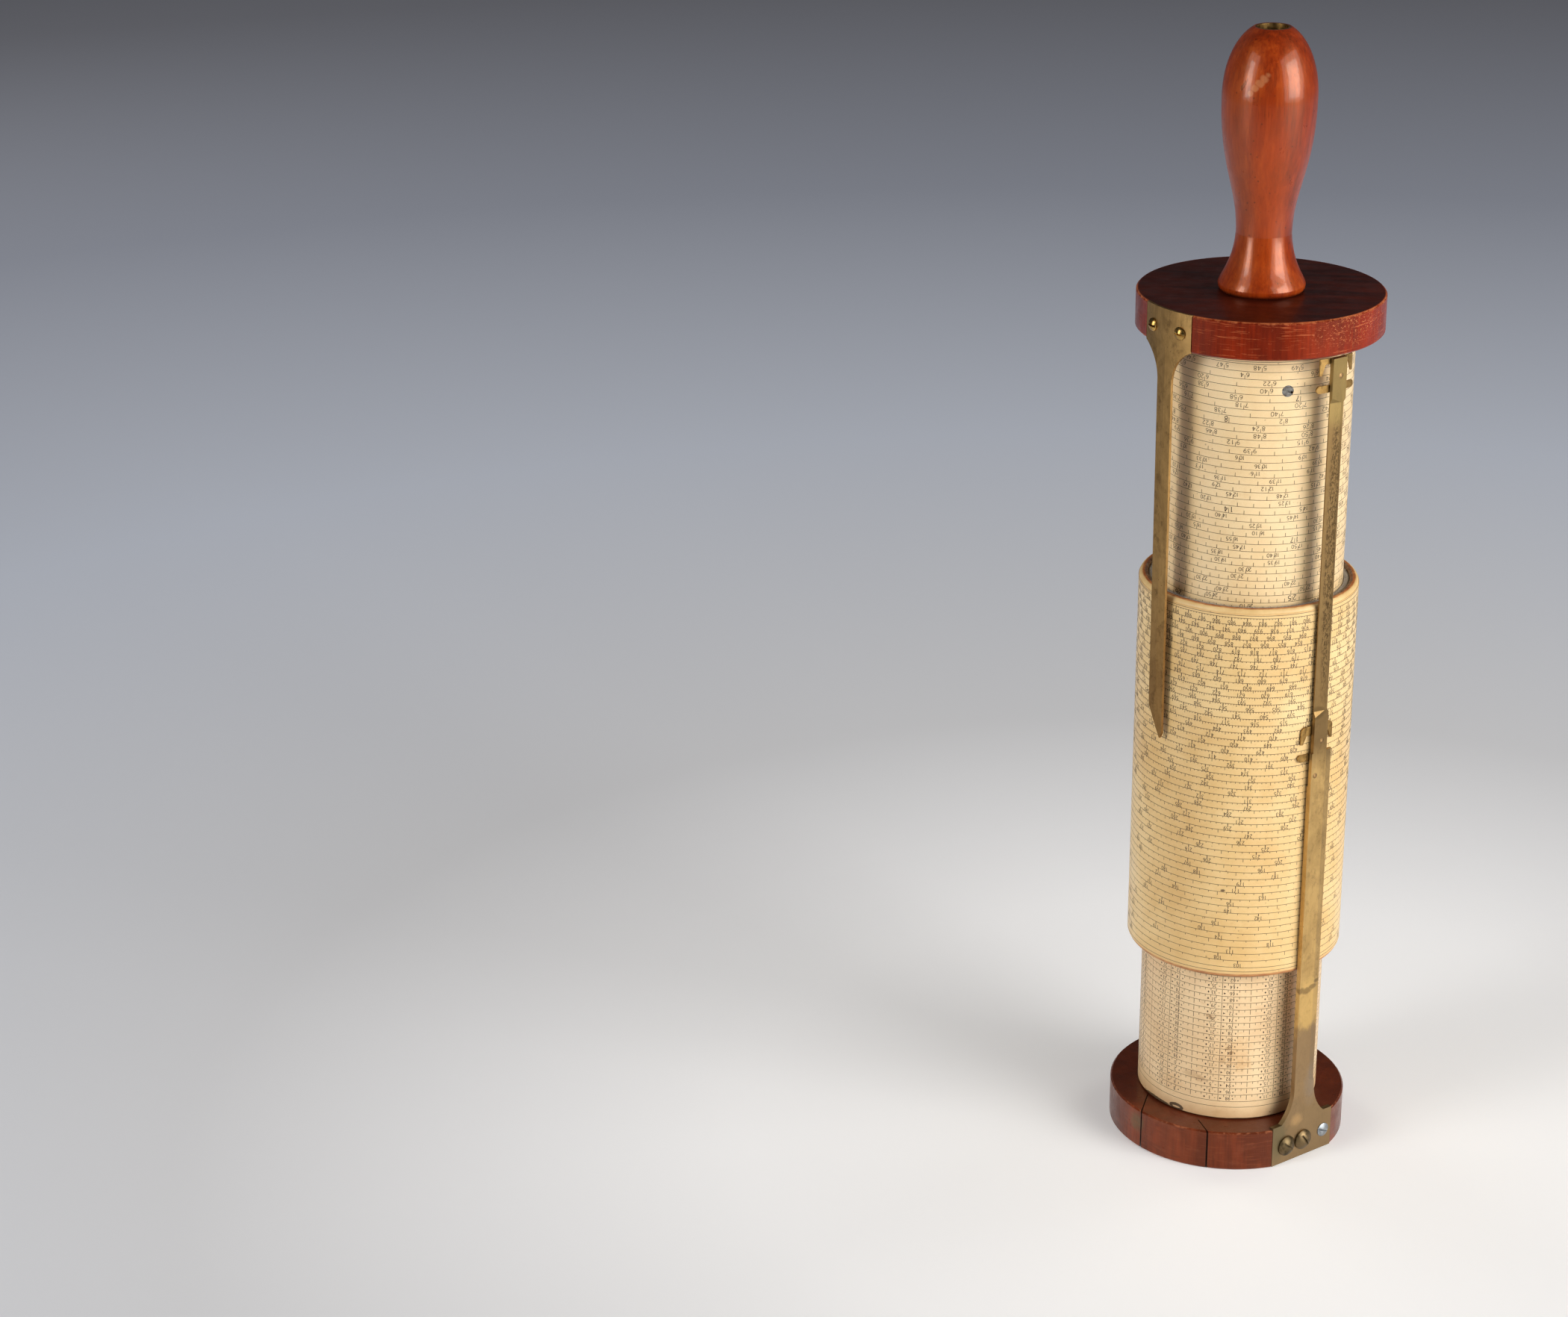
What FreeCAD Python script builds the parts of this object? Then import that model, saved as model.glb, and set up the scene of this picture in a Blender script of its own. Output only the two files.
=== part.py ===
import FreeCAD, Part
import math
import os
import Sketcher

# Cylindrical slide rule of the old office kind, about 430 mm tall, shown closed and standing on its base.
# A drum with the main helical scale slides and turns on felt rings along an inner paper-covered cylinder.
# The inner cylinder hangs on the handle. It telescopes and turns on a thinner tube that stands on the
# base disc.
# A short index hangs from the top disc, and a long index with two pointers stands on the base disc.
# The origin is the centre of the base disc's underside, Z points up the axis and -Y is the front.
# An azimuth is counted from the front, towards +X.

doc = FreeCAD.newDocument("cylindrical_slide_rule")
sheet = doc.addObject("Spreadsheet::Sheet", "Size")

# Driving dimensions in millimetres and degrees
SIZES = (
    # inner cylinder and its printed sheets
    ("cylinder_radius", "34.6", "over the printed sheets"),
    ("cylinder_wall", "2.37", "pasteboard wall"),
    ("cylinder_length", "305.2", "from its free end to the top disc"),
    ("paper_thickness", "0.2", "printed sheet"),
    ("glue_gap", "0.03", "layer of glue between two pieces that are stuck together"),
    ("sheet_joint", "149.4", "height on the cylinder where its two sheets meet"),
    ("sheet_joint_gap", "0.3", "bare line between the two sheets"),
    # drum
    ("drum_wall", "3.27", "pasteboard wall"),
    ("drum_length", "147.8", "end to end"),
    ("drum_rest", "62.8", "from the free end of the cylinder to the drum, as shown"),
    ("drum_rounding", "1.6", "outer edge of the drum's ends"),
    ("drum_inner_rounding", "0.8", "inner edge of the drum's ends"),
    ("drum_sheet_margin", "1.7", "from the drum's end to its printed sheet"),
    ("felt_thickness", "2.2", "felt rings inside the drum"),
    ("felt_length", "14", "height of a felt ring"),
    ("felt_recess", "0.8", "how far a felt ring lies inside the drum's end"),
    ("felt_fit", "0.1", "running fit of the felt rings, inside and outside"),
    # telescoping tube
    ("tube_wall", "2", "telescoping tube"),
    ("tube_headroom", "5.8", "left between the closed telescoping tube and the plug above it"),
    ("lining_thickness", "1.2", "cloth linings of the telescope"),
    ("lining_fit", "0.1", "running fit of the linings"),
    ("mouth_lining_length", "20", "lining in the mouth of the inner cylinder"),
    ("mouth_lining_recess", "2", "how far that lining lies inside the mouth"),
    ("tube_lining_length", "30", "lining round the top of the telescoping tube"),
    ("closed_gap", "0.6", "left between the base disc and the closed inner cylinder"),
    # base disc and its plug
    ("base_overhang", "4.8", "how far the base disc stands out past the drum"),
    ("base_thickness", "16", "base disc"),
    ("disc_edge", "0.6", "broken edges of the two discs"),
    ("plug_height", "30", "wooden plug inside the foot of the telescoping tube"),
    ("plug_tenon_radius", "14", "tenon of the plug in the base disc"),
    ("plug_tenon_depth", "10", "tenon of the plug in the base disc"),
    ("joiner_fit", "0.05", "play of glued wooden joints"),
    ("pin_count", "3", "pins through the tube and the plug"),
    ("pin_radius", "1.25", "pins through the tube and the plug"),
    ("pin_length", "8.5", "pins through the tube and the plug"),
    ("pin_height", "15", "pins above the base disc"),
    ("crack_width", "0.35", "old splits in the base disc"),
    ("side_crack_azimuth", "-44.5", "left split, at the rim"),
    ("side_crack_start", "35.2", "left split, distance of its inner end from the axis"),
    ("side_crack_start_azimuth", "-58.3", "left split, at its inner end"),
    ("front_crack_azimuth", "-7.8", "front split, at the rim"),
    ("front_crack_start", "37.6", "front split, distance of its inner end from the axis"),
    ("front_crack_start_azimuth", "-15.2", "front split, at its inner end"),
    # top disc and its plug
    ("top_overhang", "4.3", "how far the top disc stands out past the drum"),
    ("top_thickness", "13.8", "top disc"),
    ("cap_height", "24", "wooden plug in the top of the inner cylinder"),
    ("cap_screw_count", "3", "screws that hold the cylinder on its plug"),
    ("cap_screw_azimuth", "18.4", "the first of them"),
    ("cap_screw_drop", "14.2", "below the top disc"),
    ("cap_screw_head", "2.1", "radius of the flush head"),
    ("cap_screw_taper", "1.4", "height of the countersunk head"),
    ("cap_screw_shank", "1.1", "radius"),
    ("cap_screw_length", "9", "head and shank"),
    ("cap_screw_sink", "0.05", "how far the head lies under the sheet's surface"),
    # handle
    ("handle_height", "94.6", "above the top disc"),
    ("handle_foot_radius", "14.8", "where it stands on the disc"),
    ("handle_bead_radius", "15.7", "rounded lip just above the disc"),
    ("handle_bead_height", "2.4", "middle of the lip"),
    ("handle_neck_radius", "10", "thinnest place"),
    ("handle_neck_height", "21", "thinnest place"),
    ("handle_belly_radius", "16.9", "thickest place"),
    ("handle_belly_height", "70", "thickest place"),
    ("handle_tip_radius", "6.7", "edge round the socket"),
    ("handle_tenon_radius", "8", "tenon in the top disc"),
    ("handle_tenon_depth", "8", "tenon in the top disc"),
    ("socket_radius", "5.6", "bore of the socket in the handle's end"),
    ("socket_depth", "30", "bore of the socket in the handle's end"),
    ("ferrule_wall", "0.5", "brass lining of the socket"),
    ("handle_screw_radius", "2.3", "long screw that holds disc and handle on the plug"),
    ("handle_screw_bite", "36", "how far it goes into the handle"),
    ("handle_screw_head", "5.5", "radius"),
    ("handle_screw_head_height", "3", "head"),
    ("handle_screw_slot", "1.2", "width of its slot"),
    ("washer_radius", "9", "under the head"),
    ("washer_thickness", "1.4", "under the head"),
    ("screw_clearance", "0.6", "radial play of the long screw in plug and disc"),
    ("pilot_fit", "0.05", "radial play of fasteners in their own holes"),
    # fixed index on the top disc
    ("fixed_index_azimuth", "-47.2", "middle of the fixed index"),
    ("fixed_index_thickness", "1", "rolled brass"),
    ("fixed_index_proud", "0.1", "how far it stands out past the disc"),
    ("fixed_index_lean", "1.3", "how far its tip bends in towards the drum"),
    ("fixed_index_head_half_width", "11.9", "plate on the disc"),
    ("fixed_index_half_width", "3.7", "hanging strip"),
    ("fixed_index_flare", "12.8", "height of the hollow flares below the disc"),
    ("fixed_index_flare_radius", "14.1", "hollow flares"),
    ("fixed_index_drop", "149.8", "from the disc to the tip"),
    ("fixed_index_bevel", "11.8", "height of the slanting end"),
    ("fixed_index_nose", "2.2", "height of the small cut on the tip's other side"),
    ("fixed_index_nose_width", "1.1", "the small cut on the tip's other side"),
    ("fixed_screw_across", "7.2", "screws to either side of the plate's middle"),
    ("fixed_screw_height", "6.4", "screws above the disc's underside"),
    ("fixed_screw_head", "2.4", "radius"),
    ("fixed_screw_dome", "1.5", "height of the domed head"),
    # long index on the base disc
    ("long_index_azimuth", "43.8", "middle of the long index"),
    ("index_clearance", "0.35", "between the drum and the long index"),
    ("long_index_thickness", "2", "lower bar and foot"),
    ("foot_half_width", "15.2", "foot plate"),
    ("foot_lift", "0.4", "lower edge of the foot above the ground"),
    ("foot_top", "0.8", "upper edge of the foot above the base disc"),
    ("foot_shoulder", "10.8", "where the hollow flares meet the foot"),
    ("foot_flare_top", "14", "upper end of the flares above the base disc"),
    ("foot_flare_radius", "17.6", "hollow flares"),
    ("bar_half_width", "5.05", "lower bar"),
    ("blade_left", "4.45", "left edge of the blade"),
    ("blade_right", "2.15", "right edge of the blade"),
    ("blade_relief", "0.6", "how much thinner the bar is behind its pointers"),
    ("blade_top_gap", "1.6", "from the top disc down to the blade's end"),
    ("shoulder_drop", "3.5", "from the lower pointer's tips down to the bar's shoulder"),
    ("relief_drop", "17", "from the lower pointer's tips down to the start of the relief"),
    ("ridge_across", "0.7", "right of the middle, ridge between the blade's bevels"),
    ("ridge_half_width", "0.6", "ridge between the blade's bevels"),
    ("bevel_depth", "0.9", "blade's bevels at its edges"),
    ("bevel_stop", "3", "length over which a bevel runs out"),
    ("bevel_start", "12.8", "above the lower pointer's tips"),
    ("bevel_end", "16.5", "below the blade's upper end"),
    ("edge_bevel_width", "2.9", "bevel along the right edge of the lower bar"),
    ("edge_bevel_depth", "0.6", "bevel along the right edge of the lower bar"),
    # pointers behind the blade
    ("pointer_thickness", "0.5", "rolled brass"),
    ("pointer_spacing", "141", "between the tips of the upper and the lower pointer"),
    ("pointer_tip_drop", "6.1", "from the blade's upper end to the upper pointer's tips"),
    ("pointer_across", "-1.1", "middle of the pointers, from the bar's middle"),
    ("pointer_reach", "7.6", "outer edges of the tips to either side"),
    ("pointer_tip_width", "2.3", "a pointer's finger, at its root"),
    ("pointer_tip_end", "0.9", "a pointer's finger, at its blunt tip"),
    ("pointer_arm", "2.1", "height of the arms"),
    ("pointer_stem", "2.9", "half width of the pointers behind the blade"),
    ("cross_reach", "9", "rounded arms to either side"),
    ("cross_height", "2.8", "rounded arms"),
    ("cross_drop", "6.5", "from the tips of the upper pointer to the lower edge of its rounded arms"),
    ("lower_cross_drop", "6.8", "from the tips of the lower pointer to the lower edge of its rounded arm"),
    ("hook_rise", "6.9", "height of the lower pointer above its tips"),
    ("hook_inside_rise", "3.4", "height of the hooks' hollow side above their tips"),
    ("pointer_tail", "16", "from the tips of the lower pointer down to its end"),
    ("rivet_radius", "1", "pointer rivets"),
    ("rivet_dome", "0.15", "height of the rivets' heads"),
    ("upper_rivet_drop", "0.6", "below the upper pointer's tips"),
    ("middle_rivet_rise", "0.8", "above the lower pointer's tips"),
    ("lower_rivet_drop", "12.6", "below the lower pointer's tips"),
    ("lower_rivet_across", "-3.1", "from the bar's middle"),
    ("upper_rivet_across", "-0.6", "from the bar's middle"),
    # screws of the foot and of the fixed index
    ("large_screw_head", "4", "radius"),
    ("large_screw_dome", "2.4", "height of the domed head"),
    ("large_screw_left", "-8.1", "from the foot's middle"),
    ("large_screw_right", "0.45", "from the foot's middle"),
    ("large_screw_height", "7.4", "above the ground"),
    ("small_screw_head", "2.75", "radius"),
    ("small_screw_dome", "1", "height of the domed head"),
    ("small_screw_across", "11.1", "from the foot's middle"),
    ("small_screw_height", "8", "above the ground"),
    ("screw_shank", "1.5", "radius of the foot's screws"),
    ("screw_length", "10", "shank of the foot's screws"),
    ("fixed_screw_shank", "1.1", "radius"),
    ("fixed_screw_length", "8", "shank"),
    ("slot_width", "0.8", "slots in the screw heads"),
    ("slot_depth", "0.9", "slots in the screw heads"),
    ("left_slot_tilt", "48", "slot of the left large screw"),
    ("right_slot_tilt", "32", "slot of the right large screw"),
    ("small_slot_tilt", "68", "slot of the small screw"),
    ("fixed_slot_tilt", "84", "slots of the fixed index's screws"),
    ("cap_slot_tilt", "70", "slots of the cylinder's screws"),
)

for row, (alias, number, note) in enumerate(SIZES, start=1):
    sheet.set("A%d" % row, alias)
    sheet.set("B%d" % row, number)
    sheet.set("C%d" % row, note)
    sheet.setAlias("B%d" % row, alias)
doc.recompute()

# Places that follow from the sizes, as expressions of the sheet
CYLINDER_OUT = "(Size.cylinder_radius - Size.paper_thickness - Size.glue_gap)"
CYLINDER_BORE = "(%s - Size.cylinder_wall)" % CYLINDER_OUT
FELT_IN = "(Size.cylinder_radius + Size.felt_fit)"
FELT_OUT = "(%s + Size.felt_thickness)" % FELT_IN
DRUM_BORE = "(%s + Size.felt_fit)" % FELT_OUT
DRUM_WALL_OUT = "(%s + Size.drum_wall)" % DRUM_BORE
DRUM_RADIUS = "(%s + Size.glue_gap + Size.paper_thickness)" % DRUM_WALL_OUT
LINING_OUT = "(%s - Size.lining_fit)" % CYLINDER_BORE
LINING_IN = "(%s - Size.lining_thickness)" % LINING_OUT
TUBE_RADIUS = "(%s - Size.lining_fit)" % LINING_IN
TUBE_BORE = "(%s - Size.tube_wall)" % TUBE_RADIUS
PLUG_RADIUS = "(%s - Size.joiner_fit)" % TUBE_BORE
CAP_RADIUS = "(%s - Size.joiner_fit)" % CYLINDER_BORE
BASE_RADIUS = "(%s + Size.base_overhang)" % DRUM_RADIUS
TOP_RADIUS = "(%s + Size.top_overhang)" % DRUM_RADIUS
BASE_TOP = "Size.base_thickness"
CYLINDER_FOOT = "(Size.base_thickness + Size.closed_gap)"
DISC_BELOW = "(%s + Size.cylinder_length)" % CYLINDER_FOOT
DISC_ABOVE = "(%s + Size.top_thickness)" % DISC_BELOW
DRUM_FOOT = "(%s + Size.drum_rest)" % CYLINDER_FOOT
DRUM_TOP = "(%s + Size.drum_length)" % DRUM_FOOT
CAP_FOOT = "(%s - Size.cap_height)" % DISC_BELOW
TUBE_TOP = "(%s - Size.tube_headroom)" % CAP_FOOT
CAP_SCREW_UP = "(%s - Size.cap_screw_drop)" % DISC_BELOW
HANDLE_TOP = "(%s + Size.handle_height)" % DISC_ABOVE
FERRULE_OUT = "(Size.socket_radius + Size.ferrule_wall)"
SCREW_HOLE = "(Size.handle_screw_radius + Size.screw_clearance)"
FIXED_OUT = "(%s + Size.fixed_index_proud)" % TOP_RADIUS
FIXED_IN = "(%s - Size.fixed_index_thickness)" % FIXED_OUT
INDEX_IN = "(%s + Size.index_clearance)" % DRUM_RADIUS
INDEX_OUT = "(%s + Size.long_index_thickness)" % INDEX_IN
BLADE_IN = "(%s + Size.blade_relief)" % INDEX_IN
BLADE_TOP = "(%s - Size.blade_top_gap)" % DISC_BELOW
UPPER_TIPS = "(%s - Size.pointer_tip_drop)" % BLADE_TOP
LOWER_TIPS = "(%s - Size.pointer_spacing)" % UPPER_TIPS
SHOULDER = "(%s - Size.shoulder_drop)" % LOWER_TIPS
RELIEF = "(%s - Size.relief_drop)" % LOWER_TIPS
FOOT_TOP = "(Size.base_thickness + Size.foot_top)"
FLARE_TOP = "(Size.base_thickness + Size.foot_flare_top)"

# Share of a fastener's head that its rim takes, before the dome starts
RIM_SHARE = 0.25
# How far a cutting tool goes past what it cuts
OVERCUT = 2
# How much longer than a screw head's radius the tool for its slot is
SLOT_REACH = 3
# Radius of a pointer arm's rounded end, as a share of the arm's height
END_ROUNDING = 0.53
# How far each end of a stretch of the handle's outline runs on in its own direction, as shares of the
# stretch's width and height: the lip's rise, the flare under the neck, the swell above it and the crown
LIP_RISE = 0.25
FLARE_LEAVE = (0.1, 0.16)
FLARE_ARRIVE = (0.12, 0.62)
SWELL_LEAVE = 0.33
SWELL_ARRIVE = 0.53
CROWN_LEAVE = 0.49
CROWN_ARRIVE = (0.56, 0.14)
# Straight rim of a countersunk head, as a share of the head's height
SUNK_RIM = 0.25

nodes = []


def size(text):
    """number that an expression of the sheet gives"""
    return float(sheet.evalExpression(text))


def keep(thing, label):
    """names a finished sub-part and puts it on the list of sub-parts"""
    thing.Label = label
    nodes.append(thing)
    return thing


def new_body(name, azimuth=None):
    """body whose own X axis points outwards at the azimuth"""
    body = doc.addObject("PartDesign::Body", name)
    if azimuth:
        body.setExpression(".Placement.Rotation.Angle", "%s - 90" % azimuth)
    return body


def origin_plane(body, role):
    """one of the three planes of a body's own origin"""
    return [thing for thing in body.Origin.OriginFeatures if thing.Role == role][0]


def new_sketch(body, name, role, offset=None):
    """empty sketch on a plane of the body's origin, moved along the plane's normal"""
    sketch = body.newObject("Sketcher::SketchObject", name)
    sketch.AttachmentSupport = [(origin_plane(body, role), "")]
    sketch.MapMode = "FlatFace"
    if offset:
        sketch.setExpression(".AttachmentOffset.Base.z", offset)
    return sketch


def bind(sketch, constraint, text):
    """adds a constraint and ties its value to the sheet"""
    number = sketch.addConstraint(constraint)
    if "Size." in text:
        sketch.setExpression("Constraints[%d]" % number, text)


def middle_of_arc(start, end, radius, side):
    """point halfway along the arc between two points, which bulges to the left (1) or right (-1)"""
    chord = end - start
    half = chord.Length / 2
    sagitta = radius - math.sqrt(radius * radius - half * half)
    across = FreeCAD.Vector(-chord.y, chord.x, 0).normalize()
    return start + chord * 0.5 + across * (side * sagitta)


def add_outline(sketch, corners, arcs=None):
    """closed loop through corners given as pairs of expressions; an edge's number in arcs makes it
    an arc with a radius and a side"""
    arcs = arcs or {}
    first = sketch.GeometryCount
    spots = [FreeCAD.Vector(size(across), size(up), 0) for across, up in corners]
    starts = []
    for number, spot in enumerate(spots):
        following = spots[(number + 1) % len(spots)]
        if number in arcs:
            radius, side = arcs[number]
            middle = middle_of_arc(spot, following, size(radius), side)
            sketch.addGeometry(Part.Arc(spot, middle, following), False)
        else:
            sketch.addGeometry(Part.LineSegment(spot, following), False)
        begins = sketch.getPoint(first + number, 1).distanceToPoint(spot)
        ends = sketch.getPoint(first + number, 2).distanceToPoint(spot)
        starts.append(1 if begins < ends else 2)
    for number, (across, up) in enumerate(corners):
        edge = first + number
        after = (number + 1) % len(corners)
        joint = (edge, 3 - starts[number], first + after, starts[after])
        sketch.addConstraint(Sketcher.Constraint("Coincident", *joint))
        spot = spots[number]
        bind(sketch, Sketcher.Constraint("DistanceX", -1, 1, edge, starts[number], spot.x), across)
        bind(sketch, Sketcher.Constraint("DistanceY", -1, 1, edge, starts[number], spot.y), up)
        if number in arcs:
            radius = arcs[number][0]
            bind(sketch, Sketcher.Constraint("Radius", edge, size(radius)), radius)


def add_circle(sketch, across, up, radius):
    """circle whose centre and radius are expressions of the sheet"""
    centre = FreeCAD.Vector(size(across), size(up), 0)
    number = sketch.addGeometry(Part.Circle(centre, FreeCAD.Vector(0, 0, 1), size(radius)), False)
    bind(sketch, Sketcher.Constraint("Radius", number, size(radius)), radius)
    bind(sketch, Sketcher.Constraint("DistanceX", -1, 1, number, 3, centre.x), across)
    bind(sketch, Sketcher.Constraint("DistanceY", -1, 1, number, 3, centre.y), up)


def turn(body, corners, arcs=None):
    """turned piece from its half outline: distance from the axis and height of each corner"""
    sketch = new_sketch(body, body.Name + "_outline", "XZ_Plane")
    add_outline(sketch, corners, arcs)
    turned = body.newObject("PartDesign::Revolution", body.Name + "_turned")
    turned.Profile = sketch
    turned.ReferenceAxis = (sketch, ["V_Axis"])
    turned.Angle = 360
    return body


def ring(name, inner, outer, low, high):
    """plain tube between two radii and two heights"""
    return turn(new_body(name), [(inner, low), (outer, low), (outer, high), (inner, high)])


def pad(body, sketch, length):
    """thickens a sketch outwards"""
    feature = body.newObject("PartDesign::Pad", sketch.Name + "_pad")
    feature.Profile = sketch
    feature.setExpression("Length", length)


def pocket(body, sketch, length):
    """cuts a sketch out of the body, half the length to either side, and makes sure that it cuts"""
    doc.recompute()
    before = body.Shape.Volume
    feature = body.newObject("PartDesign::Pocket", sketch.Name + "_cut")
    feature.Profile = sketch
    feature.Midplane = True
    feature.setExpression("Length", length)
    doc.recompute()
    if body.Shape.Volume > before:
        raise ValueError(sketch.Name + " adds material")


def cut(name, base, tool):
    """one shape with another taken away"""
    feature = doc.addObject("Part::Cut", name)
    feature.Base = base
    feature.Tool = tool
    return feature


def group(name, things):
    """several separate solids as one thing"""
    feature = doc.addObject("Part::Compound", name)
    feature.Links = things
    return feature


def outward(radius, azimuth, up, tilt=0.0):
    """placement whose Z axis points away from the main axis, at a radius, azimuth and height"""
    turned = FreeCAD.Rotation(FreeCAD.Vector(0, 0, 1), azimuth - 90)
    laid = FreeCAD.Rotation(FreeCAD.Vector(0, 1, 0), 90)
    twisted = FreeCAD.Rotation(FreeCAD.Vector(0, 0, 1), tilt)
    rotation = turned.multiply(laid).multiply(twisted)
    away = turned.multVec(FreeCAD.Vector(radius, 0, up))
    return FreeCAD.Placement(away, rotation)


def on_plate(distance, azimuth, across, up, tilt=0.0):
    """placement like outward, but square to a flat plate and moved sideways on it"""
    place = outward(distance, azimuth, up, tilt)
    turned = FreeCAD.Rotation(FreeCAD.Vector(0, 0, 1), azimuth - 90)
    place.Base = place.Base + turned.multVec(FreeCAD.Vector(0, across, 0))
    return place


def along(place, distance):
    """placement moved along its own Z axis"""
    return place.multiply(FreeCAD.Placement(FreeCAD.Vector(0, 0, distance), FreeCAD.Rotation()))


def rod(name, radius, length, place):
    """round tool or pin that starts inwards of its place and ends there"""
    feature = doc.addObject("Part::Cylinder", name)
    feature.setExpression("Radius", radius)
    feature.setExpression("Height", length)
    feature.Placement = along(place, -size(length))
    return feature


def spread(count):
    """angles of that many places, evenly round the axis"""
    places = round(size(count))
    return [360.0 * number / places for number in range(places)]


def slotted_screw(name, head, dome, shank, length, place):
    """domed screw with a slot; the underside of its head lies at its place"""
    body = new_body(name)
    rim = "%s * %s" % (RIM_SHARE, dome)
    rise = size(dome) * (1 - RIM_SHARE)
    radius = (size(head) ** 2 + rise ** 2) / (2 * rise)
    domed = "((%s)^2 + (%s * %s)^2) / (2 * %s * %s)" % (head, 1 - RIM_SHARE, dome, 1 - RIM_SHARE, dome)
    if radius < size(head):
        raise ValueError(name + " has a dome higher than half a ball")
    end = "-" + length
    corners = [("0", end), (shank, end), (shank, "0"), (head, "0"), (head, rim), ("0", dome)]
    turn(body, corners, {4: (domed, -1)})
    slot = new_sketch(body, name + "_slot", "YZ_Plane")
    half = "Size.slot_width / 2"
    floor = "%s - Size.slot_depth" % dome
    above = "%s + Size.slot_depth" % dome
    add_outline(slot, [("-" + half, floor), (half, floor), (half, above), ("-" + half, above)])
    pocket(body, slot, "%d * %s" % (SLOT_REACH, head))
    body.Placement = place
    return body


def flush_screw(name, place):
    """countersunk screw whose flat slotted face lies at its place"""
    body = new_body(name)
    corners = [
        ("0", "-Size.cap_screw_length"),
        ("Size.cap_screw_shank", "-Size.cap_screw_length"),
        ("Size.cap_screw_shank", "-Size.cap_screw_taper"),
        ("Size.cap_screw_head", "-Size.cap_screw_taper * %s" % SUNK_RIM),
        ("Size.cap_screw_head", "0"),
        ("0", "0"),
    ]
    turn(body, corners)
    slot = new_sketch(body, name + "_slot", "YZ_Plane")
    half = "Size.slot_width / 2"
    above = "%d" % OVERCUT
    floor = "-Size.slot_depth"
    add_outline(slot, [("-" + half, floor), (half, floor), (half, above), ("-" + half, above)])
    pocket(body, slot, "%d * Size.cap_screw_head" % SLOT_REACH)
    body.Placement = place
    return body


def crack(name, start, start_azimuth, rim_azimuth):
    """thin upright slab from inside the base disc out past its rim"""
    inner = FreeCAD.Vector(math.sin(start_azimuth) * start, -math.cos(start_azimuth) * start, 0)
    rim = size(BASE_RADIUS)
    outer = FreeCAD.Vector(math.sin(rim_azimuth) * rim, -math.cos(rim_azimuth) * rim, 0)
    run = outer - inner
    slab = doc.addObject("Part::Box", name)
    slab.Length = run.Length + OVERCUT
    slab.setExpression("Width", "Size.crack_width")
    slab.setExpression("Height", "Size.base_thickness + %d" % (2 * OVERCUT))
    turned = FreeCAD.Rotation(FreeCAD.Vector(1, 0, 0), run)
    aside = turned.multVec(FreeCAD.Vector(0, -size("Size.crack_width") / 2, -OVERCUT))
    slab.Placement = FreeCAD.Placement(inner + aside, turned)
    return slab


def make_base_disc():
    """base disc with the seat of the long index's foot, the plug's hole and two old splits"""
    body = new_body("base_disc_turned", "Size.long_index_azimuth")
    edge = "Size.disc_edge"
    turn(body, [
        ("0", "0"),
        ("%s - %s" % (BASE_RADIUS, edge), "0"),
        (BASE_RADIUS, edge),
        (BASE_RADIUS, "%s - %s" % (BASE_TOP, edge)),
        ("%s - %s" % (BASE_RADIUS, edge), BASE_TOP),
        ("Size.plug_tenon_radius", BASE_TOP),
        ("Size.plug_tenon_radius", "%s - Size.plug_tenon_depth" % BASE_TOP),
        ("0", "%s - Size.plug_tenon_depth" % BASE_TOP),
    ])
    seat = new_sketch(body, "foot_seat", "XY_Plane")
    inner = "%s - Size.joiner_fit" % INDEX_IN
    outer = "%s + %d" % (BASE_RADIUS, OVERCUT)
    half = "(Size.foot_half_width + Size.joiner_fit)"
    add_outline(seat, [(inner, "-" + half), (outer, "-" + half), (outer, half), (inner, half)])
    pocket(body, seat, "3 * Size.base_thickness")
    azimuths = [math.radians(size("Size." + name)) for name in (
        "side_crack_start_azimuth", "side_crack_azimuth", "front_crack_start_azimuth", "front_crack_azimuth")]
    side = crack("side_crack", size("Size.side_crack_start"), azimuths[0], azimuths[1])
    front = crack("front_crack", size("Size.front_crack_start"), azimuths[2], azimuths[3])
    holes = foot_screw_holes("base_screw_holes")
    keep(cut("base_disc", body, group("base_cuts", [side, front] + holes)), "base_disc")


def foot_screw_places():
    """placements of the two large and the small screw on the foot's face"""
    face = size(INDEX_OUT)
    azimuth = size("Size.long_index_azimuth")
    high = size("Size.large_screw_height")
    return [
        on_plate(face, azimuth, size("Size.large_screw_left"), high, size("Size.left_slot_tilt")),
        on_plate(face, azimuth, size("Size.large_screw_right"), high, size("Size.right_slot_tilt")),
        on_plate(face, azimuth, size("Size.small_screw_across"), size("Size.small_screw_height"),
                 size("Size.small_slot_tilt")),
    ]


def foot_screw_holes(name):
    """holes for the foot's screws, through the foot and into the base disc"""
    radius = "Size.screw_shank + Size.pilot_fit"
    length = "Size.screw_length + Size.pilot_fit"
    return [rod("%s_%d" % (name, number), radius, length, place)
            for number, place in enumerate(foot_screw_places(), start=1)]


def pins(name, radius, length):
    """pins through the foot of the telescoping tube into its plug, or tools of that kind"""
    up = size("Size.base_thickness + Size.pin_height")
    out = size("%s - Size.pilot_fit" % TUBE_RADIUS)
    return [rod("%s_%d" % (name, number), radius, length, outward(out, angle, up))
            for number, angle in enumerate(spread("Size.pin_count"), start=1)]


def pin_holes(name):
    """tools for the holes of those pins, which come out past the tube's outer face"""
    tools = pins(name, "Size.pin_radius + Size.pilot_fit", "Size.pin_length + Size.pilot_fit + %d" % OVERCUT)
    for tool in tools:
        tool.Placement = along(tool.Placement, OVERCUT)
    return group(name, tools)


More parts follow.
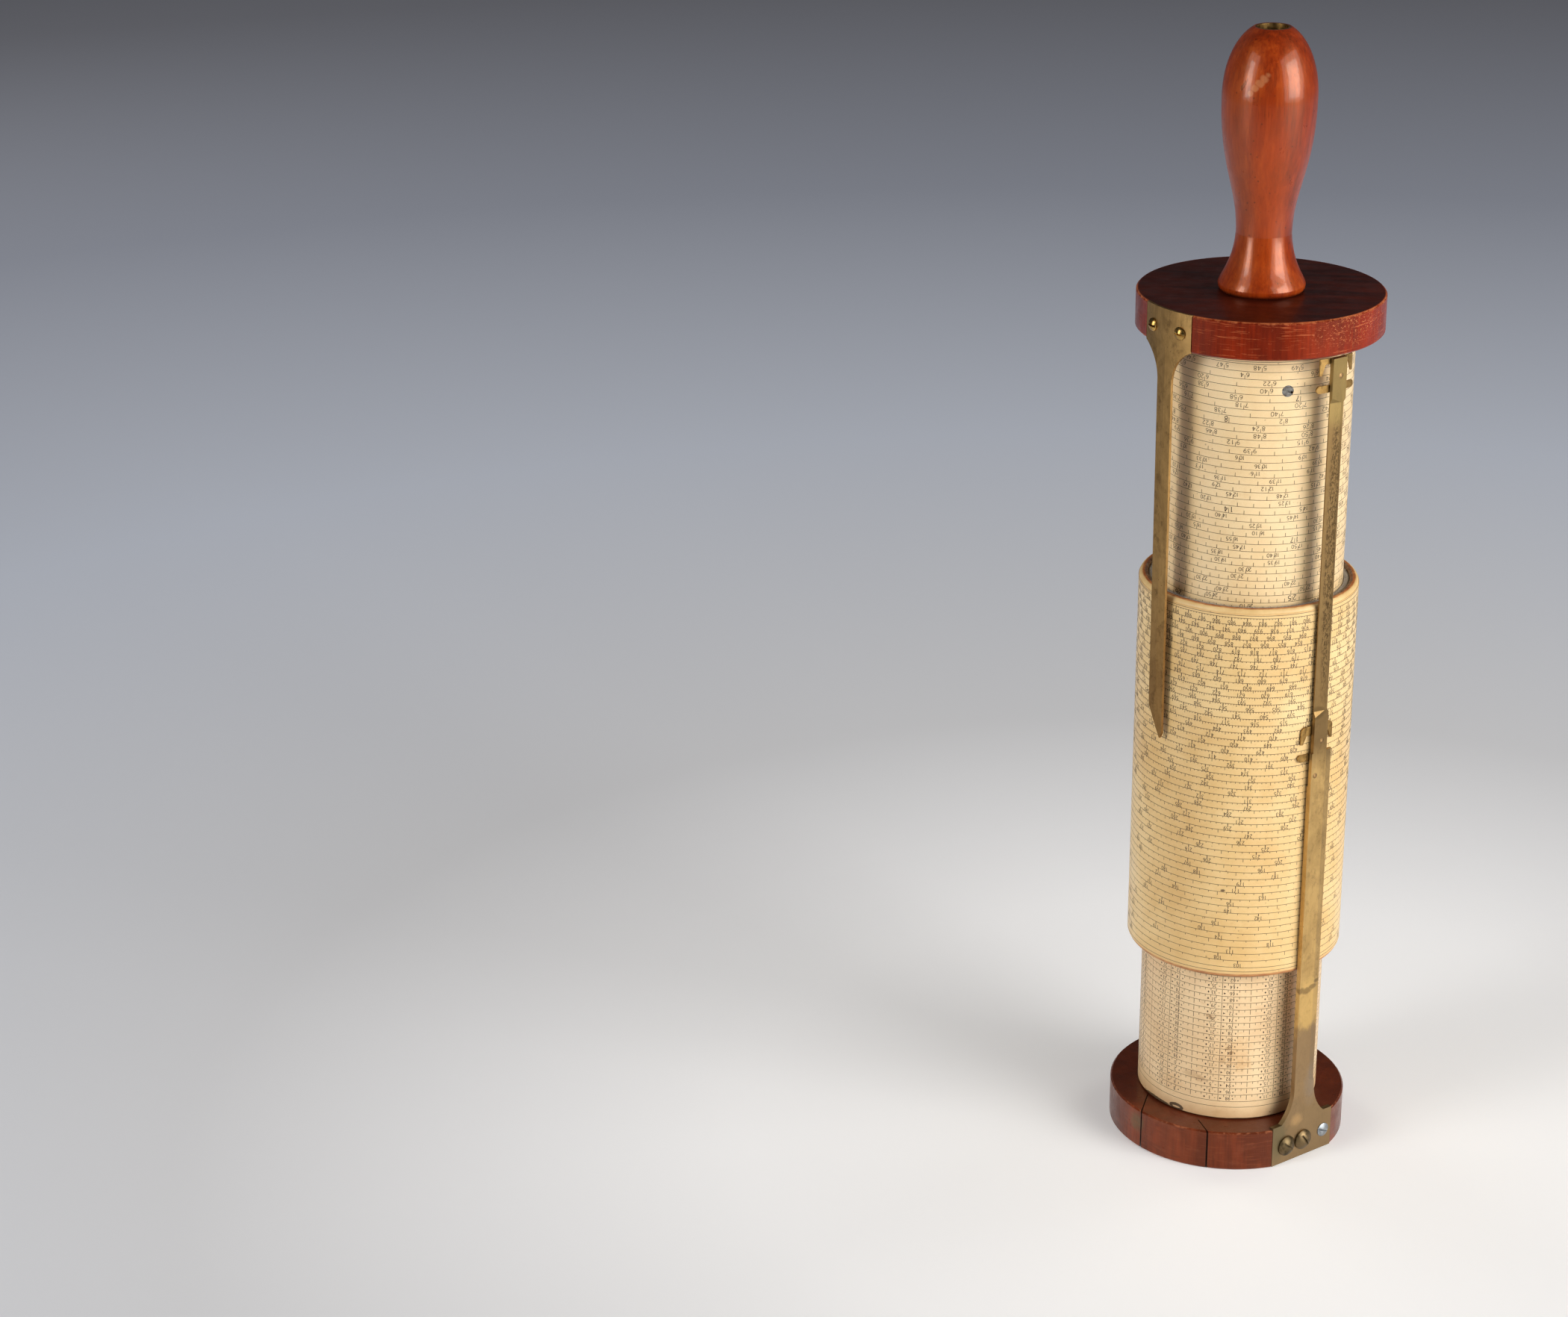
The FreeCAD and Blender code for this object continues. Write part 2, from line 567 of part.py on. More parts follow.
def make_telescope():
    """plug, telescoping tube, its pins and the two linings"""
    plug = new_body("base_plug_turned")
    tenon = "Size.plug_tenon_radius - Size.joiner_fit"
    floor = "%s - Size.plug_tenon_depth + Size.joiner_fit" % BASE_TOP
    top = "%s + Size.plug_height" % BASE_TOP
    turn(plug, [
        ("0", floor),
        (tenon, floor),
        (tenon, BASE_TOP),
        (PLUG_RADIUS, BASE_TOP),
        (PLUG_RADIUS, top),
        ("0", top),
    ])
    keep(cut("base_plug", plug, pin_holes("plug_pin_holes")), "base_plug")
    tube = ring("sliding_tube_turned", TUBE_BORE, TUBE_RADIUS, BASE_TOP, TUBE_TOP)
    keep(cut("sliding_tube", tube, pin_holes("tube_pin_holes")), "sliding_tube")
    driven = pins("tube_pin", "Size.pin_radius", "Size.pin_length")
    keep(group("sliding_tube_pins", driven), "sliding_tube_pins")
    low = "%s - Size.tube_lining_length" % TUBE_TOP
    inner = "%s + Size.glue_gap" % TUBE_RADIUS
    keep(ring("sliding_tube_lining", inner, LINING_OUT, low, TUBE_TOP), "sliding_tube_lining")
    low = "(%s + Size.mouth_lining_recess)" % CYLINDER_FOOT
    high = "%s + Size.mouth_lining_length" % low
    keep(ring("mouth_lining", LINING_IN, LINING_OUT, low, high), "mouth_lining")


def cap_screw_places():
    """placements of the flush screws round the top of the inner cylinder"""
    out = size("Size.cylinder_radius - Size.cap_screw_sink")
    up = size(CAP_SCREW_UP)
    first = size("Size.cap_screw_azimuth")
    tilt = size("Size.cap_slot_tilt")
    return [outward(out, first + angle, up, tilt) for angle in spread("Size.cap_screw_count")]


def cap_screw_tools(name, radius, inner, outer):
    """round tools along the flush screws, between two distances from the axis"""
    depth = "%s - %s" % (outer, inner)
    shift = size("%s - Size.cylinder_radius + Size.cap_screw_sink" % outer)
    return group(name, [rod("%s_%d" % (name, number), radius, depth, along(place, shift))
                        for number, place in enumerate(cap_screw_places(), start=1)])


def make_inner_cylinder():
    """pasteboard cylinder, its two printed sheets, its plug and its flush screws"""
    beyond = "(Size.cylinder_radius + %d)" % OVERCUT
    hole = "Size.cap_screw_head + Size.pilot_fit"
    inside = "(%s - Size.joiner_fit / 2)" % CYLINDER_BORE
    tube = ring("inner_cylinder_turned", CYLINDER_BORE, CYLINDER_OUT, CYLINDER_FOOT, DISC_BELOW)
    holes = cap_screw_tools("cylinder_holes", hole, inside, beyond)
    keep(cut("inner_cylinder", tube, holes), "inner_cylinder")
    paper_in = "(%s + Size.glue_gap)" % CYLINDER_OUT
    joint = "(%s + Size.sheet_joint)" % CYLINDER_FOOT
    low = "%s + Size.sheet_joint_gap" % joint
    upper = ring("sine_sheet_turned", paper_in, "Size.cylinder_radius", low, DISC_BELOW)
    holes = cap_screw_tools("sheet_holes", hole, inside, beyond)
    keep(cut("sine_scale_sheet", upper, holes), "sine_scale_sheet")
    keep(ring("log_scale_sheet", paper_in, "Size.cylinder_radius", CYLINDER_FOOT, joint), "log_scale_sheet")
    plug = ring("cylinder_plug_turned", SCREW_HOLE, CAP_RADIUS, CAP_FOOT, DISC_BELOW)
    pilot = "Size.cap_screw_shank + Size.pilot_fit"
    tip = "(Size.cylinder_radius - Size.cap_screw_sink - Size.cap_screw_length - Size.pilot_fit)"
    keep(cut("cylinder_plug", plug, cap_screw_tools("plug_holes", pilot, tip, beyond)), "cylinder_plug")
    screws = [flush_screw("cylinder_screw_%d" % number, place)
              for number, place in enumerate(cap_screw_places(), start=1)]
    keep(group("cylinder_screws", screws), "cylinder_screws")


def make_drum():
    """drum wall with rounded ends, its printed sheet and the two felt rings it runs on"""
    outer_round = "Size.drum_rounding"
    inner_round = "Size.drum_inner_rounding"
    corners = [
        ("%s + %s" % (DRUM_BORE, inner_round), DRUM_FOOT),
        ("%s - %s" % (DRUM_WALL_OUT, outer_round), DRUM_FOOT),
        (DRUM_WALL_OUT, "%s + %s" % (DRUM_FOOT, outer_round)),
        (DRUM_WALL_OUT, "%s - %s" % (DRUM_TOP, outer_round)),
        ("%s - %s" % (DRUM_WALL_OUT, outer_round), DRUM_TOP),
        ("%s + %s" % (DRUM_BORE, inner_round), DRUM_TOP),
        (DRUM_BORE, "%s - %s" % (DRUM_TOP, inner_round)),
        (DRUM_BORE, "%s + %s" % (DRUM_FOOT, inner_round)),
    ]
    arcs = {1: (outer_round, -1), 3: (outer_round, -1), 5: (inner_round, -1), 7: (inner_round, -1)}
    keep(turn(new_body("drum_shell"), corners, arcs), "drum_shell")
    paper_in = "%s + Size.glue_gap" % DRUM_WALL_OUT
    low = "%s + Size.drum_sheet_margin" % DRUM_FOOT
    high = "%s - Size.drum_sheet_margin" % DRUM_TOP
    keep(ring("main_scale_sheet", paper_in, DRUM_RADIUS, low, high), "main_scale_sheet")
    low = "(%s + Size.felt_recess)" % DRUM_FOOT
    keep(ring("drum_felt_lower", FELT_IN, FELT_OUT, low, "%s + Size.felt_length" % low), "drum_felt_lower")
    high = "(%s - Size.felt_recess)" % DRUM_TOP
    keep(ring("drum_felt_upper", FELT_IN, FELT_OUT, "%s - Size.felt_length" % high, high), "drum_felt_upper")


def fixed_screw_places():
    """placements of the fixed index's two screws on its rolled face"""
    across = math.degrees(math.asin(size("Size.fixed_screw_across") / size(FIXED_OUT)))
    middle = size("Size.fixed_index_azimuth")
    up = size("%s + Size.fixed_screw_height" % DISC_BELOW)
    tilt = size("Size.fixed_slot_tilt")
    return [outward(size(FIXED_OUT), middle + side * across, up, tilt) for side in (-1, 1)]


def fixed_screw_holes(name):
    """holes for those screws, through the plate and into the top disc"""
    radius = "Size.fixed_screw_shank + Size.pilot_fit"
    length = "Size.fixed_screw_length + Size.pilot_fit"
    return [rod("%s_%d" % (name, number), radius, length, place)
            for number, place in enumerate(fixed_screw_places(), start=1)]


def make_top_disc():
    """top disc with the fixed index's seat, the handle's hole and the screw's hole"""
    body = new_body("top_disc_turned", "Size.fixed_index_azimuth")
    edge = "Size.disc_edge"
    shelf = "%s - Size.handle_tenon_depth" % DISC_ABOVE
    turn(body, [
        (SCREW_HOLE, DISC_BELOW),
        ("%s - %s" % (TOP_RADIUS, edge), DISC_BELOW),
        (TOP_RADIUS, "%s + %s" % (DISC_BELOW, edge)),
        (TOP_RADIUS, "%s - %s" % (DISC_ABOVE, edge)),
        ("%s - %s" % (TOP_RADIUS, edge), DISC_ABOVE),
        ("Size.handle_tenon_radius + Size.joiner_fit", DISC_ABOVE),
        ("Size.handle_tenon_radius + Size.joiner_fit", shelf),
        (SCREW_HOLE, shelf),
    ])
    doc.recompute()
    before = body.Shape.Volume
    seat = new_sketch(body, "fixed_index_seat", "XZ_Plane")
    inner = "%s - Size.joiner_fit" % FIXED_IN
    outer = "%s + %d" % (TOP_RADIUS, OVERCUT)
    low = "%s - %d" % (DISC_BELOW, OVERCUT)
    high = "%s + %d" % (DISC_ABOVE, OVERCUT)
    add_outline(seat, [(inner, low), (outer, low), (outer, high), (inner, high)])
    groove = body.newObject("PartDesign::Groove", "fixed_index_seat_cut")
    groove.Profile = seat
    groove.ReferenceAxis = (seat, ["V_Axis"])
    groove.Midplane = True
    half = "asin((Size.fixed_index_head_half_width + Size.joiner_fit) / %s)" % FIXED_IN
    groove.setExpression("Angle", "2 * " + half)
    doc.recompute()
    if body.Shape.Volume >= before:
        raise ValueError("the seat of the fixed index cuts nothing")
    keep(cut("top_disc", body, group("top_disc_holes", fixed_screw_holes("top_disc_hole"))), "top_disc")


def smooth_curve(start, leave, arrive, end):
    """smooth stretch of an outline, from its two ends and the points that steer it"""
    curve = Part.BezierCurve()
    curve.setPoles([FreeCAD.Vector(across, 0, up) for across, up in (start, leave, arrive, end)])
    return curve.toShape()


def make_handle():
    """turned handle with its tenon, its socket and the pilot hole of the long screw, and the ferrule"""
    foot = size(DISC_ABOVE)
    neck = (size("Size.handle_neck_radius"), foot + size("Size.handle_neck_height"))
    belly = (size("Size.handle_belly_radius"), foot + size("Size.handle_belly_height"))
    tip = (size("Size.handle_tip_radius"), foot + size("Size.handle_height"))
    bead = (size("Size.handle_bead_radius"), foot + size("Size.handle_bead_height"))
    rest = (size("Size.handle_foot_radius"), foot)
    tenon = size("Size.handle_tenon_radius")
    floor = foot - size("Size.handle_tenon_depth - Size.joiner_fit")
    flare = neck[1] - bead[1]
    swell = belly[1] - neck[1]
    crown = tip[1] - belly[1]
    widening = bead[0] - neck[0]
    pull_in = belly[0] - tip[0]
    lip = smooth_curve(rest, (bead[0], foot + LIP_RISE * (bead[1] - foot)), bead, bead)
    hollow = smooth_curve(
        bead,
        (bead[0] - FLARE_LEAVE[0] * widening, bead[1] + FLARE_LEAVE[1] * flare),
        (neck[0] + FLARE_ARRIVE[0] * widening, neck[1] - FLARE_ARRIVE[1] * flare),
        neck,
    )
    rise = smooth_curve(
        neck,
        (neck[0], neck[1] + SWELL_LEAVE * swell),
        (belly[0], belly[1] - SWELL_ARRIVE * swell),
        belly,
    )
    top = smooth_curve(
        belly,
        (belly[0], belly[1] + CROWN_LEAVE * crown),
        (tip[0] + CROWN_ARRIVE[0] * pull_in, tip[1] - CROWN_ARRIVE[1] * crown),
        tip,
    )
    inside = [tip, (0, tip[1]), (0, floor), (tenon, floor), (tenon, foot), rest]
    points = [FreeCAD.Vector(across, 0, up) for across, up in inside]
    straight = [Part.LineSegment(a, b).toShape() for a, b in zip(points, points[1:])]
    outline = doc.addObject("Part::Feature", "handle_outline")
    outline.Shape = Part.Face(Part.Wire([lip, hollow, rise, top] + straight))
    turned = doc.addObject("Part::Revolution", "handle_turned")
    turned.Source = outline
    turned.Axis = FreeCAD.Vector(0, 0, 1)
    turned.Base = FreeCAD.Vector(0, 0, 0)
    turned.Angle = 360
    turned.Solid = True
    socket = doc.addObject("Part::Cylinder", "socket_bore")
    socket.setExpression("Radius", "%s + Size.joiner_fit" % FERRULE_OUT)
    socket.setExpression("Height", "Size.socket_depth + %d" % OVERCUT)
    socket.setExpression(".Placement.Base.z", "%s - Size.socket_depth" % HANDLE_TOP)
    pilot = doc.addObject("Part::Cylinder", "screw_pilot")
    pilot.setExpression("Radius", "Size.handle_screw_radius + Size.pilot_fit")
    pilot.setExpression("Height", "Size.handle_screw_bite + Size.pilot_fit + %d" % OVERCUT)
    under = "%s - Size.handle_tenon_depth + Size.joiner_fit - %d" % (DISC_ABOVE, OVERCUT)
    pilot.setExpression(".Placement.Base.z", under)
    keep(cut("handle", turned, group("handle_bores", [socket, pilot])), "handle")
    low = "%s - Size.socket_depth" % HANDLE_TOP
    keep(ring("handle_ferrule", "Size.socket_radius", FERRULE_OUT, low, HANDLE_TOP), "handle_ferrule")


def make_handle_screw():
    """long screw with its washer, from under the plug up into the handle"""
    under = "(%s - Size.washer_thickness)" % CAP_FOOT
    keep(ring("handle_washer", SCREW_HOLE, "Size.washer_radius", under, CAP_FOOT), "handle_washer")
    body = new_body("handle_screw")
    head = "Size.handle_screw_head"
    shank = "Size.handle_screw_radius"
    low = "(%s - Size.handle_screw_head_height)" % under
    tip = "%s - Size.handle_tenon_depth + Size.joiner_fit + Size.handle_screw_bite" % DISC_ABOVE
    turn(body, [("0", low), (head, low), (head, under), (shank, under), (shank, tip), ("0", tip)])
    slot = new_sketch(body, "handle_screw_slot", "YZ_Plane")
    half = "Size.handle_screw_slot / 2"
    deep = "%s + Size.handle_screw_head_height / 2" % low
    below = "%s - %d" % (low, OVERCUT)
    add_outline(slot, [("-" + half, below), (half, below), (half, deep), ("-" + half, deep)])
    pocket(body, slot, "%d * %s" % (SLOT_REACH, head))
    keep(body, "handle_screw")


def make_fixed_index():
    """brass strip rolled to the top disc's rim, which leans in a little on its way to its slanting tip"""
    roll = new_body("fixed_index_roll", "Size.fixed_index_azimuth")
    above = "%s + %d" % (DISC_ABOVE, OVERCUT)
    low = "%s - Size.fixed_index_drop - %d" % (DISC_BELOW, OVERCUT)
    lean_out = "%s - Size.fixed_index_lean" % FIXED_OUT
    lean_in = "%s - Size.fixed_index_lean" % FIXED_IN
    turn(roll, [
        (FIXED_IN, above),
        (FIXED_IN, DISC_BELOW),
        (lean_in, low),
        (lean_out, low),
        (FIXED_OUT, DISC_BELOW),
        (FIXED_OUT, above),
    ])
    blank = new_body("fixed_index_blank", "Size.fixed_index_azimuth")
    sketch = new_sketch(blank, "fixed_index_outline", "YZ_Plane", "%s / 2" % FIXED_OUT)
    head = "Size.fixed_index_head_half_width"
    half = "Size.fixed_index_half_width"
    tip = "(%s - Size.fixed_index_drop)" % DISC_BELOW
    flare = "%s - Size.fixed_index_flare" % DISC_BELOW
    add_outline(sketch, [
        ("-" + head, DISC_ABOVE),
        ("-" + head, DISC_BELOW),
        ("-" + half, flare),
        ("-" + half, "%s + Size.fixed_index_bevel" % tip),
        ("%s - Size.fixed_index_nose_width" % half, tip),
        (half, "%s + Size.fixed_index_nose" % tip),
        (half, flare),
        (head, DISC_BELOW),
        (head, DISC_ABOVE),
    ], {1: ("Size.fixed_index_flare_radius", 1), 6: ("Size.fixed_index_flare_radius", 1)})
    pad(blank, sketch, FIXED_OUT)
    rolled = doc.addObject("Part::Common", "fixed_index_rolled")
    rolled.Base = blank
    rolled.Tool = roll
    holes = group("fixed_index_holes", fixed_screw_holes("fixed_index_hole"))
    keep(cut("fixed_index", rolled, holes), "fixed_index")
    screws = [slotted_screw("fixed_index_screw_%d" % number, "Size.fixed_screw_head", "Size.fixed_screw_dome",
                            "Size.fixed_screw_shank", "Size.fixed_screw_length", place)
              for number, place in enumerate(fixed_screw_places(), start=1)]
    keep(group("fixed_index_screws", screws), "fixed_index_screws")


def bevel_section(corners, up):
    """triangle of a bevelling tool at one height, in the long index's own frame"""
    points = [FreeCAD.Vector(out, across, up) for out, across in corners]
    return Part.makePolygon(points + points[:1])


def bevel_tool(name, edge, top, depth, stops):
    """tool for a bevel from the front face at top to the edge at depth, which runs out at its stops"""
    face = size(INDEX_OUT)
    out = math.copysign(OVERCUT, edge - top)
    past = depth * OVERCUT / abs(edge - top)
    above = face + OVERCUT
    full = [(face, top), (face - depth - past, edge + out), (above, edge + out), (above, top)]
    lift = depth + past + OVERCUT
    clear = [(away + lift, side) for away, side in full]
    low, start, end, high = stops
    sections = [bevel_section(full, start), bevel_section(full, end)]
    if low < start:
        sections.insert(0, bevel_section(clear, start - (start - low) * lift / (depth + past)))
    if high > end:
        sections.append(bevel_section(clear, end + (high - end) * lift / (depth + past)))
    tool = doc.addObject("Part::Feature", name)
    tool.Shape = Part.makeLoft(sections, True, True)
    tool.Placement = FreeCAD.Placement(
        FreeCAD.Vector(0, 0, 0),
        FreeCAD.Rotation(FreeCAD.Vector(0, 0, 1), size("Size.long_index_azimuth") - 90))
    return tool


def make_long_index():
    """flat brass bar with its foot, its shoulder and the narrow bevelled blade above"""
    body = new_body("long_index_body", "Size.long_index_azimuth")
    sketch = new_sketch(body, "long_index_outline", "YZ_Plane", INDEX_IN)
    half = "Size.bar_half_width"
    foot = "Size.foot_half_width"
    neck = "Size.foot_shoulder"
    add_outline(sketch, [
        ("-" + foot, "Size.foot_lift"),
        (foot, "Size.foot_lift"),
        (foot, FOOT_TOP),
        (neck, FOOT_TOP),
        (half, FLARE_TOP),
        (half, SHOULDER),
        ("Size.blade_right", SHOULDER),
        ("Size.blade_right", BLADE_TOP),
        ("-Size.blade_left", BLADE_TOP),
        ("-Size.blade_left", SHOULDER),
        ("-" + half, SHOULDER),
        ("-" + half, FLARE_TOP),
        ("-" + neck, FOOT_TOP),
        ("-" + foot, FOOT_TOP),
    ], {3: ("Size.foot_flare_radius", 1), 11: ("Size.foot_flare_radius", 1)})
    pad(body, sketch, "Size.long_index_thickness")
    relief = new_sketch(body, "blade_relief", "XZ_Plane")
    behind = "%s - %d" % (INDEX_IN, OVERCUT)
    above = "%s + %d" % (BLADE_TOP, OVERCUT)
    add_outline(relief, [(behind, RELIEF), (BLADE_IN, RELIEF), (BLADE_IN, above), (behind, above)])
    pocket(body, relief, "4 * " + half)
    ridge = size("Size.ridge_across")
    ridge_half = size("Size.ridge_half_width")
    start = size("%s + Size.bevel_start" % LOWER_TIPS)
    end = size("%s - Size.bevel_end" % BLADE_TOP)
    run = size("Size.bevel_stop")
    stops = (start - run, start, end, end + run)
    depth = size("Size.bevel_depth")
    left = bevel_tool("left_bevel", -size("Size.blade_left"), ridge - ridge_half, depth, stops)
    right = bevel_tool("right_bevel", size("Size.blade_right"), ridge + ridge_half, depth, stops)
    edge = size(half)
    bottom = size("%s + Size.bevel_stop" % FLARE_TOP)
    shoulder = size(SHOULDER) + OVERCUT
    side = bevel_tool("edge_bevel", edge, edge - size("Size.edge_bevel_width"), size("Size.edge_bevel_depth"),
                      (bottom - run, bottom, shoulder, shoulder))
    tools = [left, right, side] + foot_screw_holes("foot_hole") + rivet_holes("bar_rivet_hole")
    keep(cut("long_index", body, group("long_index_cuts", tools)), "long_index")


def rivet_places():
    """placements of the three rivets on the long index's face"""
    face = size(INDEX_OUT)
    azimuth = size("Size.long_index_azimuth")
    upper = size("Size.upper_rivet_across")
    lower = size("Size.lower_rivet_across")
    return [
        on_plate(face, azimuth, upper, size("%s - Size.upper_rivet_drop" % UPPER_TIPS)),
        on_plate(face, azimuth, upper, size("%s + Size.middle_rivet_rise" % LOWER_TIPS)),
        on_plate(face, azimuth, lower, size("%s - Size.lower_rivet_drop" % LOWER_TIPS)),
    ]


def rivet_holes(name):
    """tools for the rivets' holes through the long index and its pointers"""
    radius = "Size.rivet_radius + Size.pilot_fit"
    length = "Size.long_index_thickness + %d" % OVERCUT
    return [rod("%s_%d" % (name, number), radius, length, place)
            for number, place in enumerate(rivet_places(), start=1)]


def make_rivets():
    """rivets with low domes through the long index and its pointers"""
    rivets = []
    for number, place in enumerate(rivet_places(), start=1):
        body = new_body("pointer_rivet_%d" % number)
        radius = "Size.rivet_radius"
        dome = "Size.rivet_dome"
        deep = "-(Size.long_index_thickness - Size.index_clearance / 2)"
        arc = "(%s^2 + %s^2) / (2 * %s)" % (radius, dome, dome)
        turn(body, [("0", deep), (radius, deep), (radius, "0"), ("0", dome)], {2: (arc, -1)})
        body.Placement = place
        rivets.append(body)
    keep(group("pointer_rivets", rivets), "pointer_rivets")


def rolled_pointer(name, corners, arcs, holes):
    """thin plate rolled round the drum's path, cut to an outline and drilled for its rivets"""
    blank = new_body(name + "_blank", "Size.long_index_azimuth")
    sketch = new_sketch(blank, name + "_outline", "YZ_Plane", "%s / 2" % INDEX_IN)
    add_outline(sketch, corners, arcs)
    pad(blank, sketch, INDEX_OUT)
    low = "Size.base_thickness"
    roll = ring(name + "_roll", INDEX_IN, "%s + Size.pointer_thickness" % INDEX_IN, low, DISC_BELOW)
    rolled = doc.addObject("Part::Common", name + "_rolled")
    rolled.Base = blank
    rolled.Tool = roll
    keep(cut(name, rolled, group(name + "_holes", holes)), name)


def leftward(reach):
    """place across the bar at that distance to the left of the pointers' middle"""
    return "(Size.pointer_across - %s)" % reach


def rightward(reach):
    """place across the bar at that distance to the right of the pointers' middle"""
    return "(Size.pointer_across + %s)" % reach


def make_upper_pointer():
    """two pointed arms above two rounded arms, behind the blade's upper end"""
    reach = "Size.pointer_reach"
    stem = "Size.pointer_stem"
    width = "(Size.pointer_reach - Size.pointer_tip_width)"
    blunt = "(Size.pointer_reach - Size.pointer_tip_end)"
    under = "(%s - Size.pointer_arm)" % BLADE_TOP
    cross_low = "(%s - Size.cross_drop)" % UPPER_TIPS
    cross_high = "(%s + Size.cross_height)" % cross_low
    end = "(Size.cross_reach - Size.cross_height / 2)"
    corners = [
        (rightward(reach), BLADE_TOP),
        (leftward(reach), BLADE_TOP),
        (leftward(reach), UPPER_TIPS),
        (leftward(blunt), UPPER_TIPS),
        (leftward(width), under),
        (leftward(stem), under),
        (leftward(stem), cross_high),
        (leftward(end), cross_high),
        (leftward(end), cross_low),
        (rightward(end), cross_low),
        (rightward(end), cross_high),
        (rightward(stem), cross_high),
        (rightward(stem), under),
        (rightward(width), under),
        (rightward(blunt), UPPER_TIPS),
        (rightward(reach), UPPER_TIPS),
    ]
    half = "Size.cross_height * %s" % END_ROUNDING
    holes = rivet_holes("upper_pointer_hole")[:1]
    rolled_pointer("upper_pointer", corners, {7: (half, -1), 9: (half, -1)}, holes)


def make_lower_pointer():
    """two pointed hooks above one rounded arm, behind the foot of the blade"""
    reach = "Size.pointer_reach"
    stem = "Size.pointer_stem"
    width = "(Size.pointer_reach - Size.pointer_tip_width)"
    blunt = "(Size.pointer_reach - Size.pointer_tip_end)"
    top = "(%s + Size.hook_rise)" % LOWER_TIPS
    under = "(%s + Size.hook_inside_rise)" % LOWER_TIPS
    corner = "(%s - Size.pointer_arm)" % top
    inset = "(%s - Size.pointer_arm)" % reach
    cross_low = "(%s - Size.lower_cross_drop)" % LOWER_TIPS
    cross_high = "(%s + Size.cross_height)" % cross_low
    end = "(Size.cross_reach - Size.cross_height / 2)"
    tail = "(%s - Size.pointer_tail)" % LOWER_TIPS
    side = "-Size.blade_left"
    corners = [
        (rightward(inset), top),
        (leftward(inset), top),
        (leftward(reach), corner),
        (leftward(reach), LOWER_TIPS),
        (leftward(blunt), LOWER_TIPS),
        (leftward(width), under),
        (leftward(stem), under),
        (leftward(stem), cross_high),
        (leftward(end), cross_high),
        (leftward(end), cross_low),
        (side, cross_low),
        (side, tail),
        (rightward(stem), tail),
        (rightward(stem), under),
        (rightward(width), under),
        (rightward(blunt), LOWER_TIPS),
        (rightward(reach), LOWER_TIPS),
        (rightward(reach), corner),
    ]
    half = "Size.cross_height * %s" % END_ROUNDING
    bend = "Size.pointer_arm"
    arcs = {1: (bend, -1), 8: (half, -1), 17: (bend, -1)}
    holes = rivet_holes("lower_pointer_hole")[1:]
    rolled_pointer("lower_pointer", corners, arcs, holes)


def make_foot_screws():
    """two large old screws and one small newer one"""
    places = foot_screw_places()
    large = [slotted_screw("large_screw_%d" % number, "Size.large_screw_head", "Size.large_screw_dome",
                           "Size.screw_shank", "Size.screw_length", place)
             for number, place in enumerate(places[:2], start=1)]
    keep(group("foot_screws_large", large), "foot_screws_large")
    keep(slotted_screw("foot_screw_small", "Size.small_screw_head", "Size.small_screw_dome",
                       "Size.screw_shank", "Size.screw_length", places[2]), "foot_screw_small")


make_base_disc()
make_telescope()
make_inner_cylinder()
make_drum()
make_top_disc()
make_handle()
make_handle_screw()
make_fixed_index()
make_long_index()
make_upper_pointer()
make_lower_pointer()
make_rivets()
make_foot_screws()
doc.recompute()

for thing in doc.Objects:
    if "Invalid" in thing.State or "Error" in thing.State:
        raise ValueError("%s did not build: %s" % (thing.Name, thing.State))
for node in nodes:
    if node.Shape.isNull() or not node.Shape.isValid() or not node.Shape.Solids:
        raise ValueError("%s has no valid shape" % node.Label)

os.makedirs("parts", exist_ok=True)
for node in nodes:
    node.Shape.exportStep("parts/%s.step" % node.Label)
    box = node.Shape.BoundBox
    print("%-22s %2d solid(s) %10.1f mm3  z %7.2f to %7.2f" % (
        node.Label, len(node.Shape.Solids), node.Shape.Volume, box.ZMin, box.ZMax))
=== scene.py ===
"""Cylindrical slide rule: materials, printed scales, felt, wear, stage and light round the CAD part."""

import math
import random

import bpy
from mathutils import Matrix, Vector, noise


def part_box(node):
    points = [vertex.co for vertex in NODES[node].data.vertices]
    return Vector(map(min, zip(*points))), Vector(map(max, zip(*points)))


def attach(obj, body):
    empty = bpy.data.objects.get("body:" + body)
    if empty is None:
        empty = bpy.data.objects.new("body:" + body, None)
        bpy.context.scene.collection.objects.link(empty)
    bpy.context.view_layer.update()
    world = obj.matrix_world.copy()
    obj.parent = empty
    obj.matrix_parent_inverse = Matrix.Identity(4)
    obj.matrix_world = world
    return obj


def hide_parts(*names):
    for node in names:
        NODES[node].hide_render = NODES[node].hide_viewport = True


MM = 0.001

# Outer radii of the printed sheets, in mm
DRUM_RADIUS = 40.5
TUBE_RADIUS = 34.6

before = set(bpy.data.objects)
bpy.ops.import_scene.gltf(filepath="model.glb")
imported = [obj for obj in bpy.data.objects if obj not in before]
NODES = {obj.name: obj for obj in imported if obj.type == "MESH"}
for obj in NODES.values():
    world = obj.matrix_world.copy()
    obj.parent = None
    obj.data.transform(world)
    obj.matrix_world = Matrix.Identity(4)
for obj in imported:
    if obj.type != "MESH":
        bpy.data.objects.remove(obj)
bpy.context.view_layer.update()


# Colours and node trees


def srgb(red, green, blue):
    """The linear colour of a display colour from 0 to 255."""
    def linear(value):
        value /= 255
        return value / 12.92 if value <= 0.04045 else ((value + 0.055) / 1.055) ** 2.4

    return (linear(red), linear(green), linear(blue), 1.0)


def on_cylinder(radius, azimuth, z):
    """The point at that radius, azimuth and height, all in mm and degrees, in metres."""
    angle = math.radians(azimuth)
    return Vector((radius * math.sin(angle), -radius * math.cos(angle), z)) * MM


